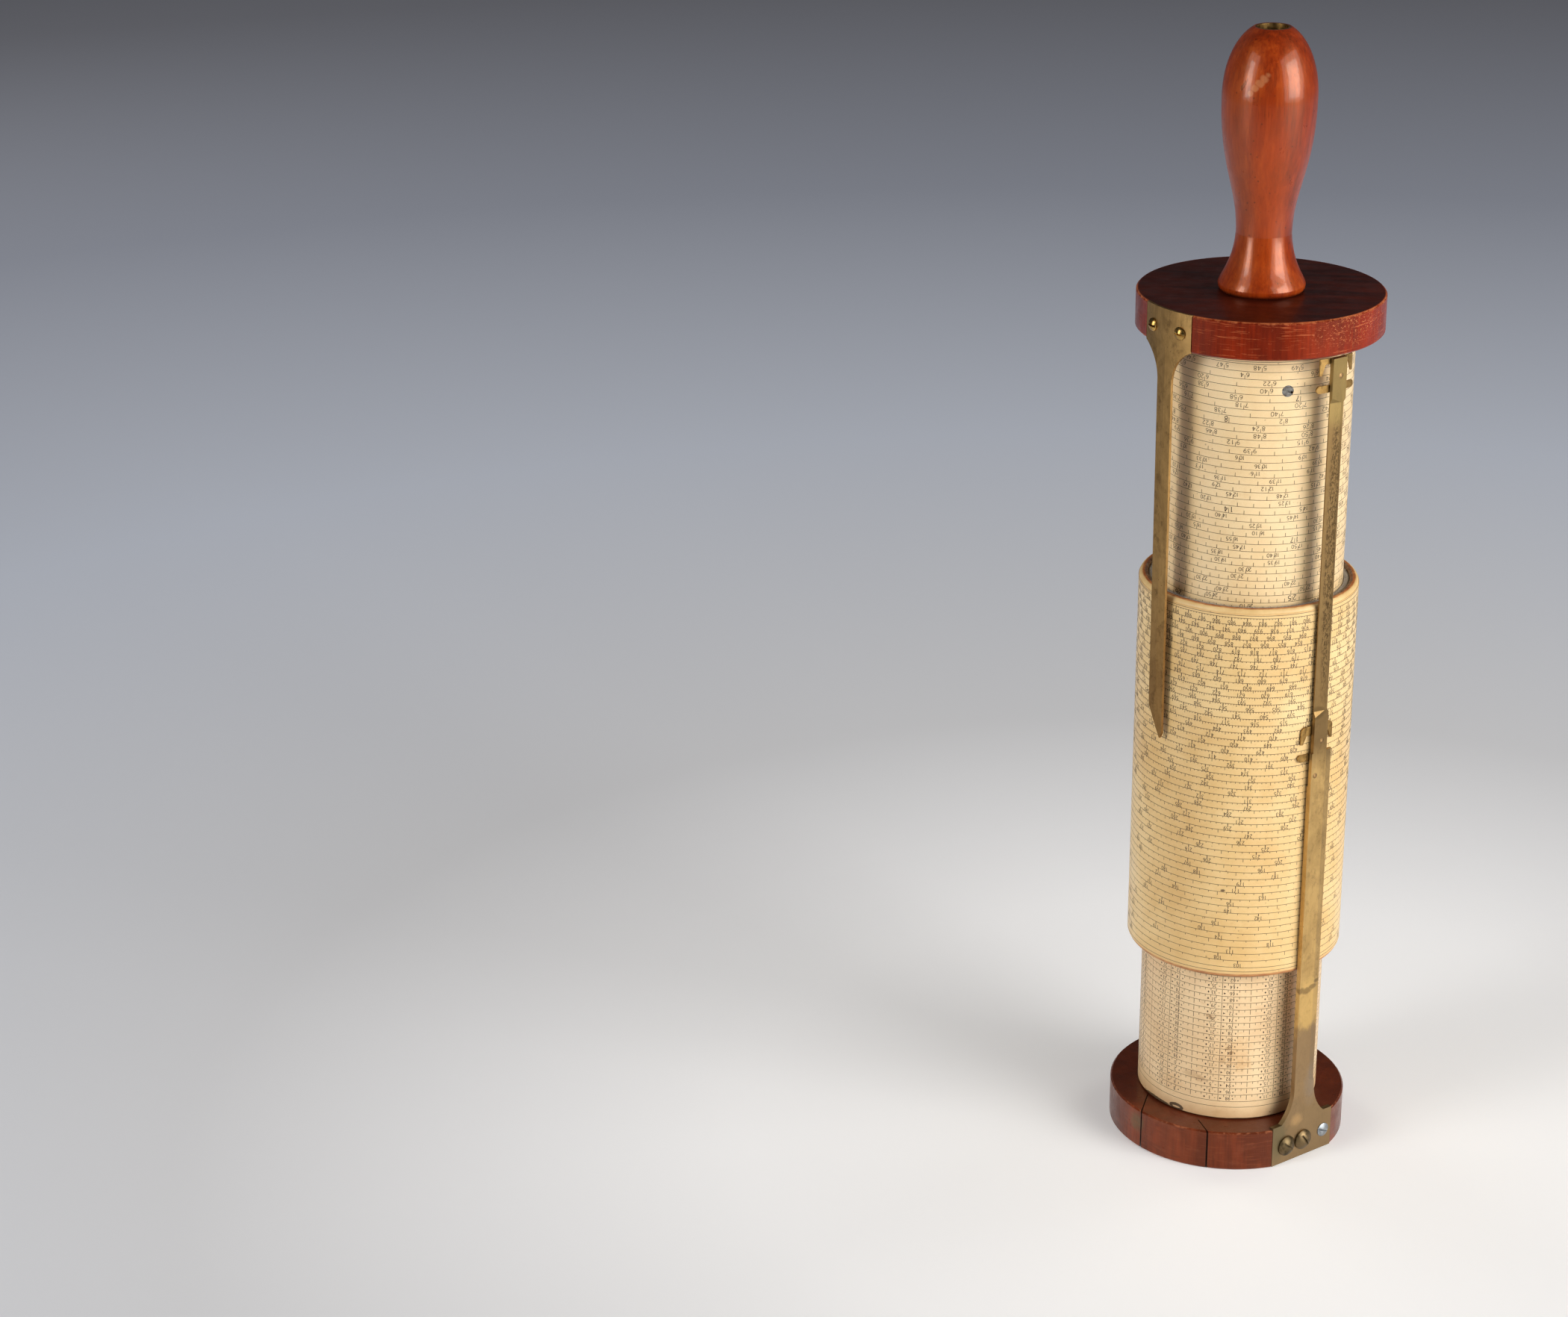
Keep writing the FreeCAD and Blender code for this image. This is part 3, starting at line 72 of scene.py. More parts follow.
def on_bar(azimuth, distance, across, z):
    """The point of a flat bar whose face stands at that azimuth and distance from the axis."""
    angle = math.radians(azimuth)
    out = Vector((math.sin(angle), -math.cos(angle), 0))
    right = Vector((math.cos(angle), math.sin(angle), 0))
    return (out * distance + right * across + Vector((0, 0, z))) * MM


class Look:
    """One procedural material, with short calls for the nodes that the materials here are made from."""

    def __init__(self, name, **shader):
        self.material = bpy.data.materials.new(name)
        self.material.use_nodes = True
        self.tree = self.material.node_tree
        self.tree.nodes.clear()
        self.shader = self.node("ShaderNodeBsdfPrincipled")
        output = self.node("ShaderNodeOutputMaterial")
        self.tree.links.new(self.shader.outputs[0], output.inputs["Surface"])
        self.place = self.node("ShaderNodeTexCoord").outputs["Object"]
        for socket, value in shader.items():
            self.set(socket.replace("_", " "), value)

    def node(self, kind, **settings):
        made = self.tree.nodes.new(kind)
        for name, value in settings.items():
            setattr(made, name, value)
        return made

    def plug(self, socket, value):
        if isinstance(value, bpy.types.NodeSocket):
            self.tree.links.new(value, socket)
        else:
            socket.default_value = value

    def set(self, socket, value):
        self.plug(self.shader.inputs[socket], value)

    def math(self, operation, first, second=0.0, third=0.0, clamp=False):
        made = self.node("ShaderNodeMath", operation=operation, use_clamp=clamp)
        for index, value in enumerate((first, second, third)):
            self.plug(made.inputs[index], value)
        return made.outputs[0]

    def times(self, first, second):
        return self.math("MULTIPLY", first, second)

    def plus(self, first, second):
        return self.math("ADD", first, second)

    def larger(self, first, second):
        return self.math("MAXIMUM", first, second)

    def vector(self, operation, first, second):
        made = self.node("ShaderNodeVectorMath", operation=operation)
        self.plug(made.inputs[0], first)
        self.plug(made.inputs[1], second)
        return made.outputs["Value" if operation == "LENGTH" else 0]

    def stretched(self, sizes, shift=(0, 0, 0)):
        """The place, counted in features of those sizes in mm along x, y and z."""
        moved = self.vector("ADD", self.place, Vector(shift) * MM)
        return self.vector("MULTIPLY", moved, Vector([1 / (size * MM) for size in sizes]))

    def noise(self, sizes, detail=4.0, rough=0.55, warp=0.0, shift=(0, 0, 0)):
        sizes = sizes if hasattr(sizes, "__len__") else (sizes,) * 3
        made = self.node("ShaderNodeTexNoise")
        self.plug(made.inputs["Vector"], self.stretched(sizes, shift))
        settings = {"Scale": 1.0, "Detail": detail, "Roughness": rough, "Distortion": warp}
        for socket, value in settings.items():
            self.plug(made.inputs[socket], value)
        return made.outputs["Fac"]

    def cells(self, size):
        """Distance to the nearest of scattered points."""
        made = self.node("ShaderNodeTexVoronoi")
        self.plug(made.inputs["Vector"], self.stretched((size,) * 3))
        self.plug(made.inputs["Scale"], 1.0)
        return made.outputs["Distance"]

    def step(self, value, low, high, start=0.0, end=1.0):
        """A smooth step from start at low to end at high."""
        made = self.node("ShaderNodeMapRange", interpolation_type="SMOOTHSTEP")
        for index, number in enumerate((value, low, high, start, end)):
            self.plug(made.inputs[index], number)
        return made.outputs[0]

    def mix(self, factor, first, second, blend="MIX"):
        made = self.node("ShaderNodeMix", data_type="RGBA", blend_type=blend)
        self.plug(made.inputs[0], factor)
        self.plug(made.inputs[6], first)
        self.plug(made.inputs[7], second)
        return made.outputs[2]

    def over(self, colour, mask, share, tint):
        """The colour with a tint laid over it by a share of the mask."""
        return self.mix(self.times(mask, share), colour, tint)

    def ramp(self, value, *stops):
        made = self.node("ShaderNodeValToRGB")
        band = made.color_ramp
        while len(band.elements) < len(stops):
            band.elements.new(0.5)
        for element, (position, colour) in zip(band.elements, stops):
            element.position = position
            element.color = colour
        self.plug(made.inputs[0], value)
        return made.outputs[0]

    def height(self):
        """The height in mm."""
        split = self.node("ShaderNodeSeparateXYZ")
        self.plug(split.inputs[0], self.place)
        return self.math("MULTIPLY", split.outputs[2], 1 / MM)

    def radius(self):
        """The distance from the axis in mm."""
        flat = self.vector("MULTIPLY", self.place, (1 / MM, 1 / MM, 0))
        return self.vector("LENGTH", flat, (0, 0, 0))

    def spot(self, centre, across, tall, ragged=0.0, soft=0.4, grain=2.0):
        """1 in a patch round a point, with half sizes in mm, and 0 outside it."""
        away = self.vector("SUBTRACT", self.place, centre)
        scaled = self.vector("MULTIPLY", away, Vector((1 / across, 1 / across, 1 / tall)) / MM)
        distance = self.vector("LENGTH", scaled, (0, 0, 0))
        if ragged:
            uneven = self.math("MULTIPLY_ADD", self.noise(grain), ragged, -ragged / 2)
            distance = self.plus(distance, uneven)
        return self.step(distance, 1 + soft / 2, 1 - soft / 2)

    def bump(self, height, distance, strength):
        made = self.node("ShaderNodeBump")
        self.plug(made.inputs["Height"], height)
        self.plug(made.inputs["Distance"], distance * MM)
        self.plug(made.inputs["Strength"], strength)
        self.set("Normal", made.outputs[0])


def dress(look, *names):
    for name in names:
        mesh = NODES[name].data
        mesh.materials.clear()
        mesh.materials.append(look.material)


# Wood


def grained(name, tones, streak, pores, roughness, coat=0.0, shift=0.0, gloss=0.5, tint=(255, 255, 255)):
    """Polished wood with its grain along the axis: broad figure, fine streaks and short dark pores."""
    dark, middle, light = tones
    look = Look(name, Coat_Weight=coat, Coat_Roughness=0.1, IOR=1.5)
    look.set("Specular IOR Level", gloss)
    look.set("Specular Tint", srgb(*tint))
    move = (shift, shift / 2, 0)
    figure = look.noise((14, 14, 60), detail=3, warp=0.8, shift=move)
    streaks = look.noise((1.1, 1.1, 26), detail=5, rough=0.6, shift=move)
    tone = look.plus(look.times(figure, 0.55), look.times(streaks, streak))
    colour = look.ramp(tone, (0.36, dark), (0.52, middle), (0.7, light))
    pore = look.noise((0.35, 0.35, 5.0), detail=2, rough=0.5, shift=move)
    colour = look.mix(look.step(pore, 0.60, 0.70, 0.0, pores), colour, dark, "MULTIPLY")
    look.set("Roughness", look.step(look.noise(6, detail=5), 0.3, 0.7, roughness - 0.07, roughness + 0.1))
    return look, colour, pore


# Marks on the handle's belly: the dent's points by azimuth and height, and the smear's with their sizes
BELLY_RADIUS = 16.6
DENT = ((-36.4, 411.1), (-34.3, 412.1), (-32.3, 413.2), (-30.4, 414.3), (-28.6, 415.3))
SMEAR = ((-23.7, 409.6, 1.0), (-18.5, 411.6, 1.2), (-13, 413.4, 1.4), (-8, 415.0, 1.5), (-3.5, 416.4, 1.2))

def handle_look():
    tones = srgb(98, 30, 7), srgb(142, 46, 10), srgb(174, 72, 20)
    look, colour, pore = grained("handle_polished_wood", tones, streak=0.5, pores=0.4, roughness=0.34,
                                 coat=0.48, gloss=1.0, tint=(255, 158, 98))
    mottle = look.noise((5, 5, 14), detail=6, rough=0.65, warp=0.5)
    colour = look.mix(look.step(mottle, 0.5, 0.72, 0.0, 0.45), colour, srgb(96, 30, 8))
    faded = look.spot(on_cylinder(14, -52, 385), 7, 40, 0.8, 0.9, 8.0)
    colour = look.over(colour, faded, 0.3, srgb(134, 70, 36))
    figure = look.spot(on_cylinder(13, 4, 372), 6, 34, 0.7, 0.9, 9.0)
    colour = look.over(colour, figure, 0.35, srgb(184, 72, 16))
    specks = look.times(look.step(look.cells(2.6), 0.16, 0.1), look.step(look.noise(9), 0.5, 0.56))
    colour = look.over(colour, specks, 0.7, srgb(60, 22, 10))
    dent = 0.0
    for azimuth, z in DENT:
        dent = look.larger(dent, look.spot(on_cylinder(BELLY_RADIUS, azimuth, z), 0.55, 1.0, 0.5))
    smear = 0.0
    for azimuth, z, size in SMEAR:
        patch = look.spot(on_cylinder(BELLY_RADIUS, azimuth, z), 1.1 * size, size, 0.8, 0.6)
        smear = look.larger(smear, patch)
    colour = look.over(colour, dent, 0.75, srgb(76, 30, 14))
    colour = look.over(colour, smear, 0.5, srgb(196, 132, 88))
    foot = look.step(look.height(), 337.2, 335.7)
    colour = look.over(colour, foot, 0.8, srgb(46, 18, 10))
    look.set("Base Color", colour)
    relief = look.math("SUBTRACT", look.times(look.noise(3.5, detail=5), 0.5), look.times(dent, 0.8))
    relief = look.math("SUBTRACT", relief, look.times(look.step(pore, 0.6, 0.7), 0.12))
    look.bump(relief, 0.16, 0.5)
    return look


def disc_look():
    tones = srgb(96, 24, 8), srgb(138, 38, 10), srgb(170, 60, 18)
    look, colour, _ = grained("top_disc_polished_wood", tones, streak=0.3, pores=0.25, roughness=0.36,
                              coat=0.12, shift=30, tint=(255, 130, 80))
    height, radius = look.height(), look.radius()
    scratch = look.noise((9, 9, 0.35), detail=4, rough=0.55, warp=0.6, shift=(7, 3, 2))
    colour = look.mix(look.step(scratch, 0.6, 0.67, 0.0, 0.5), colour, srgb(204, 112, 66))
    nick = look.noise((1.1, 1.1, 0.7), detail=6, rough=0.75, shift=(6, 1, 9))
    colour = look.mix(look.step(nick, 0.63, 0.69, 0.0, 0.55), colour, srgb(200, 116, 70))
    ragged = look.times(look.noise(2.2, detail=7, rough=0.75), 3.4)
    edge = look.times(look.step(radius, 43.9, 44.5), look.step(look.plus(height, ragged), 336.5, 337.4))
    colour = look.over(colour, edge, 0.75, srgb(204, 118, 72))
    bare = look.spot(on_cylinder(44.8, 46, 331), 16, 6.0, 1.6, 0.8, 3.0)
    fleck = look.step(look.noise((1.0, 1.0, 0.5), detail=6, rough=0.7, shift=(1, 8, 3)), 0.56, 0.63)
    colour = look.over(colour, look.times(bare, fleck), 0.75, srgb(216, 138, 86))
    # Painted shade: the top face gets a much darker tone than the side, standing in for the little light and
    # dark reflection it has from above; the pale specks on it are dust.
    face = look.times(look.step(height, 335.35, 335.55), look.step(radius, 44.6, 43.6))
    shaded_dusty_top = look.ramp(look.noise((30, 6, 6), detail=5), (0.35, srgb(46, 13, 7)), (0.65, srgb(76, 25, 13)))
    dust = look.step(look.noise((0.6, 0.6, 0.6), detail=3, rough=0.5, shift=(2, 2, 2)), 0.7, 0.78)
    shaded_dusty_top = look.over(shaded_dusty_top, dust, 0.4, srgb(150, 112, 90))
    colour = look.mix(face, colour, shaded_dusty_top)
    look.set("Specular IOR Level", look.math("MULTIPLY_ADD", face, -0.3, 0.5))
    look.set("Base Color", colour)
    look.bump(look.plus(look.noise(5, detail=5), look.times(scratch, 0.25)), 0.12, 0.45)
    return look


# Each split in the base disc: its inner end and its end at the rim, by distance from the axis and azimuth
BASE_RADIUS = 45.3
CRACKS = (((35.2, -58.3), (BASE_RADIUS, -44.5)), ((37.6, -15.2), (BASE_RADIUS, -7.8)))

def base_look():
    tones = srgb(84, 33, 16), srgb(128, 55, 28), srgb(160, 80, 44)
    look, colour, pore = grained("base_disc_worn_wood", tones, streak=0.22, pores=0.15, roughness=0.34,
                                 coat=0.2, shift=61, tint=(255, 170, 120))
    height, radius = look.height(), look.radius()
    haze = look.noise((9, 9, 4), detail=6, rough=0.65, shift=(0, 0, 40))
    colour = look.mix(look.step(haze, 0.48, 0.74, 0.0, 0.3), colour, srgb(134, 74, 50))
    blotch = look.noise((12, 12, 5), detail=5, rough=0.6, warp=0.7, shift=(31, 4, 0))
    colour = look.mix(look.step(blotch, 0.54, 0.68, 0.0, 0.4), colour, srgb(70, 27, 18))
    worn = look.step(look.noise((2.4, 2.4, 1.2), detail=5, rough=0.7), 0.5, 0.64)
    worn = look.times(worn, look.step(radius, 44.4, 45.0))
    edges = look.larger(look.step(height, 14.9, 15.8), look.step(height, 0.9, 0.2))
    colour = look.over(colour, look.times(worn, edges), 0.7, srgb(170, 104, 72))
    stain = look.spot(on_cylinder(BASE_RADIUS, -48, 10.5), 3.6, 3.4, 1.2, 0.8)
    colour = look.over(colour, stain, 0.6, srgb(84, 82, 54))
    pull = look.noise((10, 10, 0.9), detail=5, rough=0.6, warp=0.4, shift=(5, 2, 6))
    colour = look.mix(look.step(pull, 0.52, 0.7, 0.0, 0.25), colour, srgb(152, 84, 52))
    for start, end in CRACKS:
        inside, rim = on_cylinder(start[0], start[1], 0), on_cylinder(end[0], end[1], 0)
        along = (rim - inside).normalized()
        aside = Vector((-along.y, along.x, 0))
        off = look.node("ShaderNodeVectorMath", operation="DOT_PRODUCT")
        look.plug(off.inputs[0], look.vector("SUBTRACT", look.place, inside))
        look.plug(off.inputs[1], aside / MM)
        uneven = look.math("MULTIPLY_ADD", look.noise(3), 0.3, -0.15)
        near = look.math("ABSOLUTE", look.plus(off.outputs["Value"], uneven))
        reach = look.spot((inside + rim) / 2, (rim - inside).length / MM / 2 + 1.6, 60, 0.0, 0.1)
        split = look.times(look.step(near, 0.5, 0.22), reach)
        colour = look.over(colour, split, 0.9, srgb(26, 10, 8))
    # Painted shade: the top face of the base is darkened for the little light it gets from above.
    face = look.times(look.step(height, 15.6, 15.9), look.step(radius, 45.0, 44.2))
    colour = look.over(colour, face, 0.6, srgb(84, 38, 20))
    look.set("Base Color", colour)
    relief = look.plus(look.noise(2.6, detail=6, rough=0.65), look.times(look.step(pore, 0.6, 0.7), -0.3))
    look.bump(relief, 0.2, 0.5)
    return look


def plain_wood(name, tones, roughness, shift):
    look, colour, pore = grained(name, tones, 0.6, 0.5, roughness, shift=shift)
    look.set("Base Color", colour)
    look.bump(look.plus(look.noise((0.8, 0.8, 12), detail=5), look.times(pore, 0.6)), 0.25, 0.6)
    return look


# Paper and pasteboard


def paper(name, low, high, tint, dirt, roughness=0.34):
    """Varnished printed paper: uneven varnish, fine fibres and small brown specks."""
    look = Look(name, Coat_Weight=0.25, Coat_Roughness=0.22, IOR=1.46)
    cloud = look.noise((26, 26, 34), detail=5, rough=0.6)
    colour = look.ramp(cloud, (0.3, low), (0.7, high))
    fibre = look.noise((0.5, 0.5, 0.35), detail=5, rough=0.7)
    colour = look.mix(look.step(fibre, 0.35, 0.75, 0.0, 0.16), colour, tint)
    dotted = look.step(look.noise(7, shift=(3, 0, 0)), 0.52, 0.58)
    fleck = look.times(look.step(look.cells(3.4), 0.13, 0.06), dotted)
    colour = look.over(colour, fleck, dirt, srgb(120, 76, 40))
    smudge = look.noise((9, 9, 6), detail=6, rough=0.7, shift=(0, 11, 5))
    colour = look.mix(look.step(smudge, 0.56, 0.78, 0.0, dirt * 0.6), colour, tint)
    look.set("Roughness", look.step(look.noise(11, detail=6), 0.3, 0.7, roughness - 0.06, roughness + 0.12))
    look.bump(look.plus(look.noise(1.1, detail=5, rough=0.6), look.times(look.noise(9), 1.5)), 0.03, 0.5)
    return look, colour


def drum_paper_look():
    tones = srgb(224, 182, 114), srgb(246, 214, 154), srgb(198, 150, 88)
    look, colour = paper("drum_varnished_paper", *tones, dirt=0.5)
    height = look.height()
    rim = look.larger(look.step(height, 82.6, 81.2), look.step(height, 224.6, 225.6))
    colour = look.over(colour, rim, 0.25, srgb(196, 140, 78))
    band = look.step(look.noise((60, 60, 12), detail=3), 0.45, 0.75, 0.0, 0.35)
    colour = look.mix(band, colour, srgb(250, 222, 166))
    blot = look.spot(on_cylinder(DRUM_RADIUS, -6.2, 115.4), 0.8, 0.5, 0.9, 0.6, 0.6)
    colour = look.over(colour, blot, 0.85, srgb(70, 44, 26))
    look.set("Base Color", colour)
    return look


def upper_paper_look():
    tones = srgb(236, 202, 148), srgb(250, 224, 176), srgb(212, 172, 116)
    look, colour = paper("upper_varnished_paper", *tones, dirt=0.45)
    look.set("Base Color", colour)
    return look


# Marks on the lower sheet. A stain is its azimuth, height, half width, half height, share and colour.
LOOP_AZIMUTH, LOOP_HEIGHT = -32.6, 17.5
BROWN, ORANGE, DARK = srgb(146, 98, 48), srgb(212, 158, 92), srgb(104, 66, 34)
STAINS = (
    (-12.8, 59.6, 1.0, 0.7, 0.5, BROWN), (-11.2, 58.8, 1.1, 0.6, 0.5, BROWN),
    (0.7, 46.6, 1.0, 0.9, 0.45, DARK), (2.2, 44.8, 1.1, 0.8, 0.5, DARK),
    (-2.9, 41.8, 1.0, 2.0, 0.3, BROWN), (10.4, 39.5, 2.6, 2.0, 0.3, ORANGE),
    (6.5, 45.0, 4.2, 6.5, 0.32, ORANGE), (-22.4, 33.5, 3.2, 1.6, 0.3, BROWN),
    (-16.2, 32.2, 2.2, 1.2, 0.35, BROWN), (-3.0, 44.0, 4.0, 6.0, 0.16, ORANGE),
    (-38, 27.0, 5.0, 4.0, 0.25, ORANGE),
)


def lower_paper_look():
    tones = srgb(226, 190, 142), srgb(246, 216, 170), srgb(196, 152, 104)
    look, colour = paper("lower_varnished_paper", *tones, dirt=0.6, roughness=0.4)
    for azimuth, z, across, tall, share, tint in STAINS:
        stain = look.spot(on_cylinder(TUBE_RADIUS, azimuth, z), across, tall, 2.2, 1.0, 1.1)
        colour = look.over(colour, stain, share, tint)
    height = look.height()
    foot = look.step(look.plus(height, look.times(look.noise(5, detail=5), 4)), 24, 18.5)
    colour = look.over(colour, foot, 0.35, srgb(186, 134, 84))
    loop = look.spot(on_cylinder(TUBE_RADIUS, LOOP_AZIMUTH, LOOP_HEIGHT), 3.3, 1.5, 0.3, 0.15, 3.0)
    hole = look.spot(on_cylinder(TUBE_RADIUS, LOOP_AZIMUTH, LOOP_HEIGHT - 0.1), 1.75, 0.36, 0.3, 0.25, 3.0)
    # Painted shadow: a dark band along the sheet's lower edge, widest on the left, stands in for the shadow
    # in the gap under the tube. The loop is a real dark mark on the paper.
    painted_gap_shadow = look.step(look.plus(height, look.times(look.noise(8, detail=4), 0.9)), 17.3, 16.95)
    painted_gap_shadow = look.larger(painted_gap_shadow, look.spot(on_cylinder(TUBE_RADIUS, -50, 16.4), 8.5, 1.25, 0.5, 0.25, 2.0))
    loop_mark_and_gap_shadow = look.larger(look.math("SUBTRACT", loop, hole, clamp=True), painted_gap_shadow)
    colour = look.over(colour, loop_mark_and_gap_shadow, 0.88, srgb(44, 30, 20))
    look.set("Base Color", colour)
    return look


def pasteboard_look(name, dark, light):
    look = Look(name)
    layers = look.noise((20, 20, 0.25), detail=4, rough=0.6)
    tone = look.plus(look.times(layers, 0.5), look.times(look.noise(3, detail=6), 0.5))
    look.set("Base Color", look.ramp(tone, (0.36, dark), (0.64, light)))
    look.set("Roughness", look.step(look.noise(4, detail=5), 0.3, 0.7, 0.42, 0.62))
    look.bump(look.plus(layers, look.noise(1.2, detail=5)), 0.06, 0.6)
    return look


def drum_wall_look():
    """Paper-coloured where it rounds into the sheet, worn to an orange edge that is partly a painted
    highlight of the rounded rim, and brown and dusty inside.
    """
    look = Look("drum_wall_worn_board", Roughness=0.5, Coat_Weight=0.15, Coat_Roughness=0.25)
    uneven = look.math("MULTIPLY_ADD", look.noise(2.4, detail=6, rough=0.7), 0.7, -0.35)
    radius = look.plus(look.radius(), uneven)
    cream = look.ramp(look.noise(6, detail=5), (0.3, srgb(222, 184, 122)), (0.7, srgb(238, 204, 144)))
    worn = look.noise((3, 3, 1.5), detail=6)
    orange = look.ramp(worn, (0.35, srgb(160, 84, 38)), (0.65, srgb(204, 138, 78)))
    brown = look.ramp(look.noise((3, 3, 5), detail=6), (0.35, srgb(84, 50, 32)), (0.65, srgb(136, 92, 60)))
    dust = look.step(look.noise(1.6, detail=6, rough=0.75, shift=(5, 5, 0)), 0.46, 0.62, 0.0, 0.7)
    # The orange band on the rounded edge, and again at the wall's foot, is partly wear and partly painted
    # highlight.
    colour = look.mix(look.step(radius, 39.5, 38.9), cream, orange)
    foot = look.step(look.plus(look.height(), look.times(look.noise(1.5, detail=5), 0.6)), 82.2, 81.6)
    colour = look.over(colour, foot, 0.85, orange)
    colour = look.mix(look.step(radius, 38.5, 38.0), colour, look.mix(dust, brown, srgb(158, 146, 126)))
    look.set("Base Color", colour)
    look.bump(look.plus(look.noise(1.2, detail=5), look.times(dust, 0.6)), 0.08, 0.6)
    return look


# Metal


def brass(name, bright, dull, deep, patina, roughness, brush=(0.25, 0.25, 14)):
    """Aged brass: drawn lines along its length, cloudy tarnish and small dark pits."""
    look = Look(name, Metallic=1.0)
    lines = look.noise(brush, detail=4, rough=0.6)
    cloud = look.noise((7, 7, 12), detail=6, rough=0.68, warp=0.6)
    tone = look.plus(look.times(lines, 0.3), look.times(cloud, 0.7))
    colour = look.ramp(tone, (0.34, dull), (0.6, bright))
    clouded = look.noise((3.0, 3.0, 4.5), detail=7, rough=0.72, shift=(4, 9, 1))
    tarnish = look.step(clouded, 0.5, 0.68, 0.0, patina)
    colour = look.mix(tarnish, colour, deep)
    dotted = look.step(look.noise(5, shift=(9, 1, 1)), 0.52, 0.6)
    pits = look.times(look.step(look.cells(1.5), 0.17, 0.08), dotted)
    colour = look.over(colour, pits, 0.7, deep)
    return look, colour, lines, tarnish, roughness


def finish_brass(look, colour, lines, tarnish, roughness):
    look.set("Base Color", colour)
    spread = look.step(lines, 0.3, 0.7, roughness - 0.07, roughness + 0.07)
    look.set("Roughness", look.math("ADD", spread, look.times(tarnish, 0.25), clamp=True))
    look.bump(look.plus(lines, look.noise(2.2, detail=6)), 0.03, 0.5)
    return look


def fixed_index_look():
    tones = srgb(182, 144, 88), srgb(138, 106, 62), srgb(76, 58, 38)
    look, colour, *rest = brass("fixed_index_aged_brass", *tones, patina=0.5, roughness=0.42)
    low = look.step(look.height(), 250, 180)
    colour = look.over(colour, low, 0.35, srgb(118, 78, 38))
    soft = look.spot(on_bar(-36, 45.5, 4.0, 325), 4.5, 60, 0.2, 0.9, 6.0)
    colour = look.over(colour, soft, 0.3, srgb(188, 152, 96))
    return finish_brass(look, colour, *rest)


# Marks on the long index. A point of the band is its place across, height, half width and half height.
LONG_INDEX_AZIMUTH, LONG_INDEX_FACE = 43.8, 42.85
FACET_HEIGHT = 185.5
BAND = ((-4.5, 72.2, 2.0, 1.2), (-1.5, 71.6, 2.4, 1.3), (1.5, 72.6, 2.2, 1.0), (3.8, 74.4, 1.6, 0.8))

def on_long_index(across, z):
    return on_bar(LONG_INDEX_AZIMUTH, LONG_INDEX_FACE, across, z)


def long_index_look():
    tones = srgb(204, 168, 108), srgb(168, 136, 84), srgb(96, 76, 50)
    look, colour, *rest = brass("long_index_aged_brass", *tones, patina=0.35, roughness=0.4)
    height = look.height()
    ragged = look.math("MULTIPLY_ADD", look.noise((5, 5, 7), detail=6, rough=0.65), 16, -8)
    uneven = look.plus(height, ragged)
    bright = look.spot(on_long_index(-0.5, 66), 5.2, 11, 0.5, 0.5, 6.0)
    colour = look.over(colour, bright, 0.5, srgb(224, 186, 116))
    low = look.step(uneven, 58, 52)
    colour = look.over(colour, low, 0.75, srgb(136, 112, 86))
    band = 0.0
    for across, z, wide, tall in BAND:
        band = look.larger(band, look.spot(on_long_index(across, z), wide, tall, 0.7, 0.7, 1.2))
    colour = look.over(colour, band, 0.6, srgb(104, 82, 56))
    blade = look.step(height, 160, 175)
    colour = look.over(colour, blade, 0.75, srgb(108, 84, 54))
    middle = look.spot(on_long_index(-1.1, 250), 2.2, 56, 0.3, 0.6, 2.0)
    scrape = look.step(look.noise((0.6, 0.6, 1.6), detail=6, rough=0.8, warp=0.5), 0.45, 0.56)
    colour = look.over(colour, look.times(middle, scrape), 0.75, srgb(52, 40, 26))
    head = look.step(height, 292, 300)
    colour = look.over(colour, head, 0.6, srgb(162, 138, 84))
    # Painted shade: the facet where the left bevel runs out is darkened to dim the light it catches.
    shaded_facet = look.spot(on_long_index(-3.2, FACET_HEIGHT), 3.2, 2.4, 0.3, 0.5)
    colour = look.over(colour, shaded_facet, 0.6, srgb(98, 78, 48))
    grey = look.times(look.spot(on_long_index(3.4, 31), 2.6, 7, 1.6, 1.4, 4.0), 0.3)
    colour = look.mix(grey, colour, srgb(146, 142, 136))
    foot = look.step(uneven, 27, 20)
    colour = look.over(colour, foot, 0.45, srgb(134, 112, 80))
    # Green patina on the foot's left flare, darkened there also as painted shade.
    green = look.spot(on_long_index(-13, 12), 4.5, 9, 0.9, 0.9, 3.0)
    colour = look.over(colour, green, 0.5, srgb(96, 96, 72))
    warm = look.spot(on_long_index(-3.3, 16.9), 2.6, 2.2, 1.0, 1.2)
    colour = look.over(colour, warm, 0.45, srgb(210, 170, 116))
    return finish_brass(look, colour, *rest)


def simple_brass(name, bright, dull, deep, patina, roughness):
    look, colour, *rest = brass(name, bright, dull, deep, patina, roughness, brush=(1.2, 1.2, 1.2))
    return finish_brass(look, colour, *rest)


def grey_metal(name, bright, dull, roughness):
    look = Look(name, Metallic=1.0)
    cloud = look.noise(1.4, detail=6, rough=0.7)
    look.set("Base Color", look.ramp(cloud, (0.35, dull), (0.65, bright)))
    look.set("Roughness", look.step(look.noise(0.7, detail=5), 0.3, 0.7, roughness - 0.1, roughness + 0.15))
    look.bump(look.noise(0.5, detail=5), 0.03, 0.5)
    return look


def cloth_look(name, dark, light):
    look = Look(name, Roughness=0.95, Sheen_Weight=0.4, Sheen_Roughness=0.5)
    fuzz = look.noise(0.6, detail=6, rough=0.75, warp=1.0)
    look.set("Base Color", look.ramp(fuzz, (0.32, dark), (0.68, light)))
    look.bump(fuzz, 0.25, 0.8)
    return look


# The CAD nodes' materials

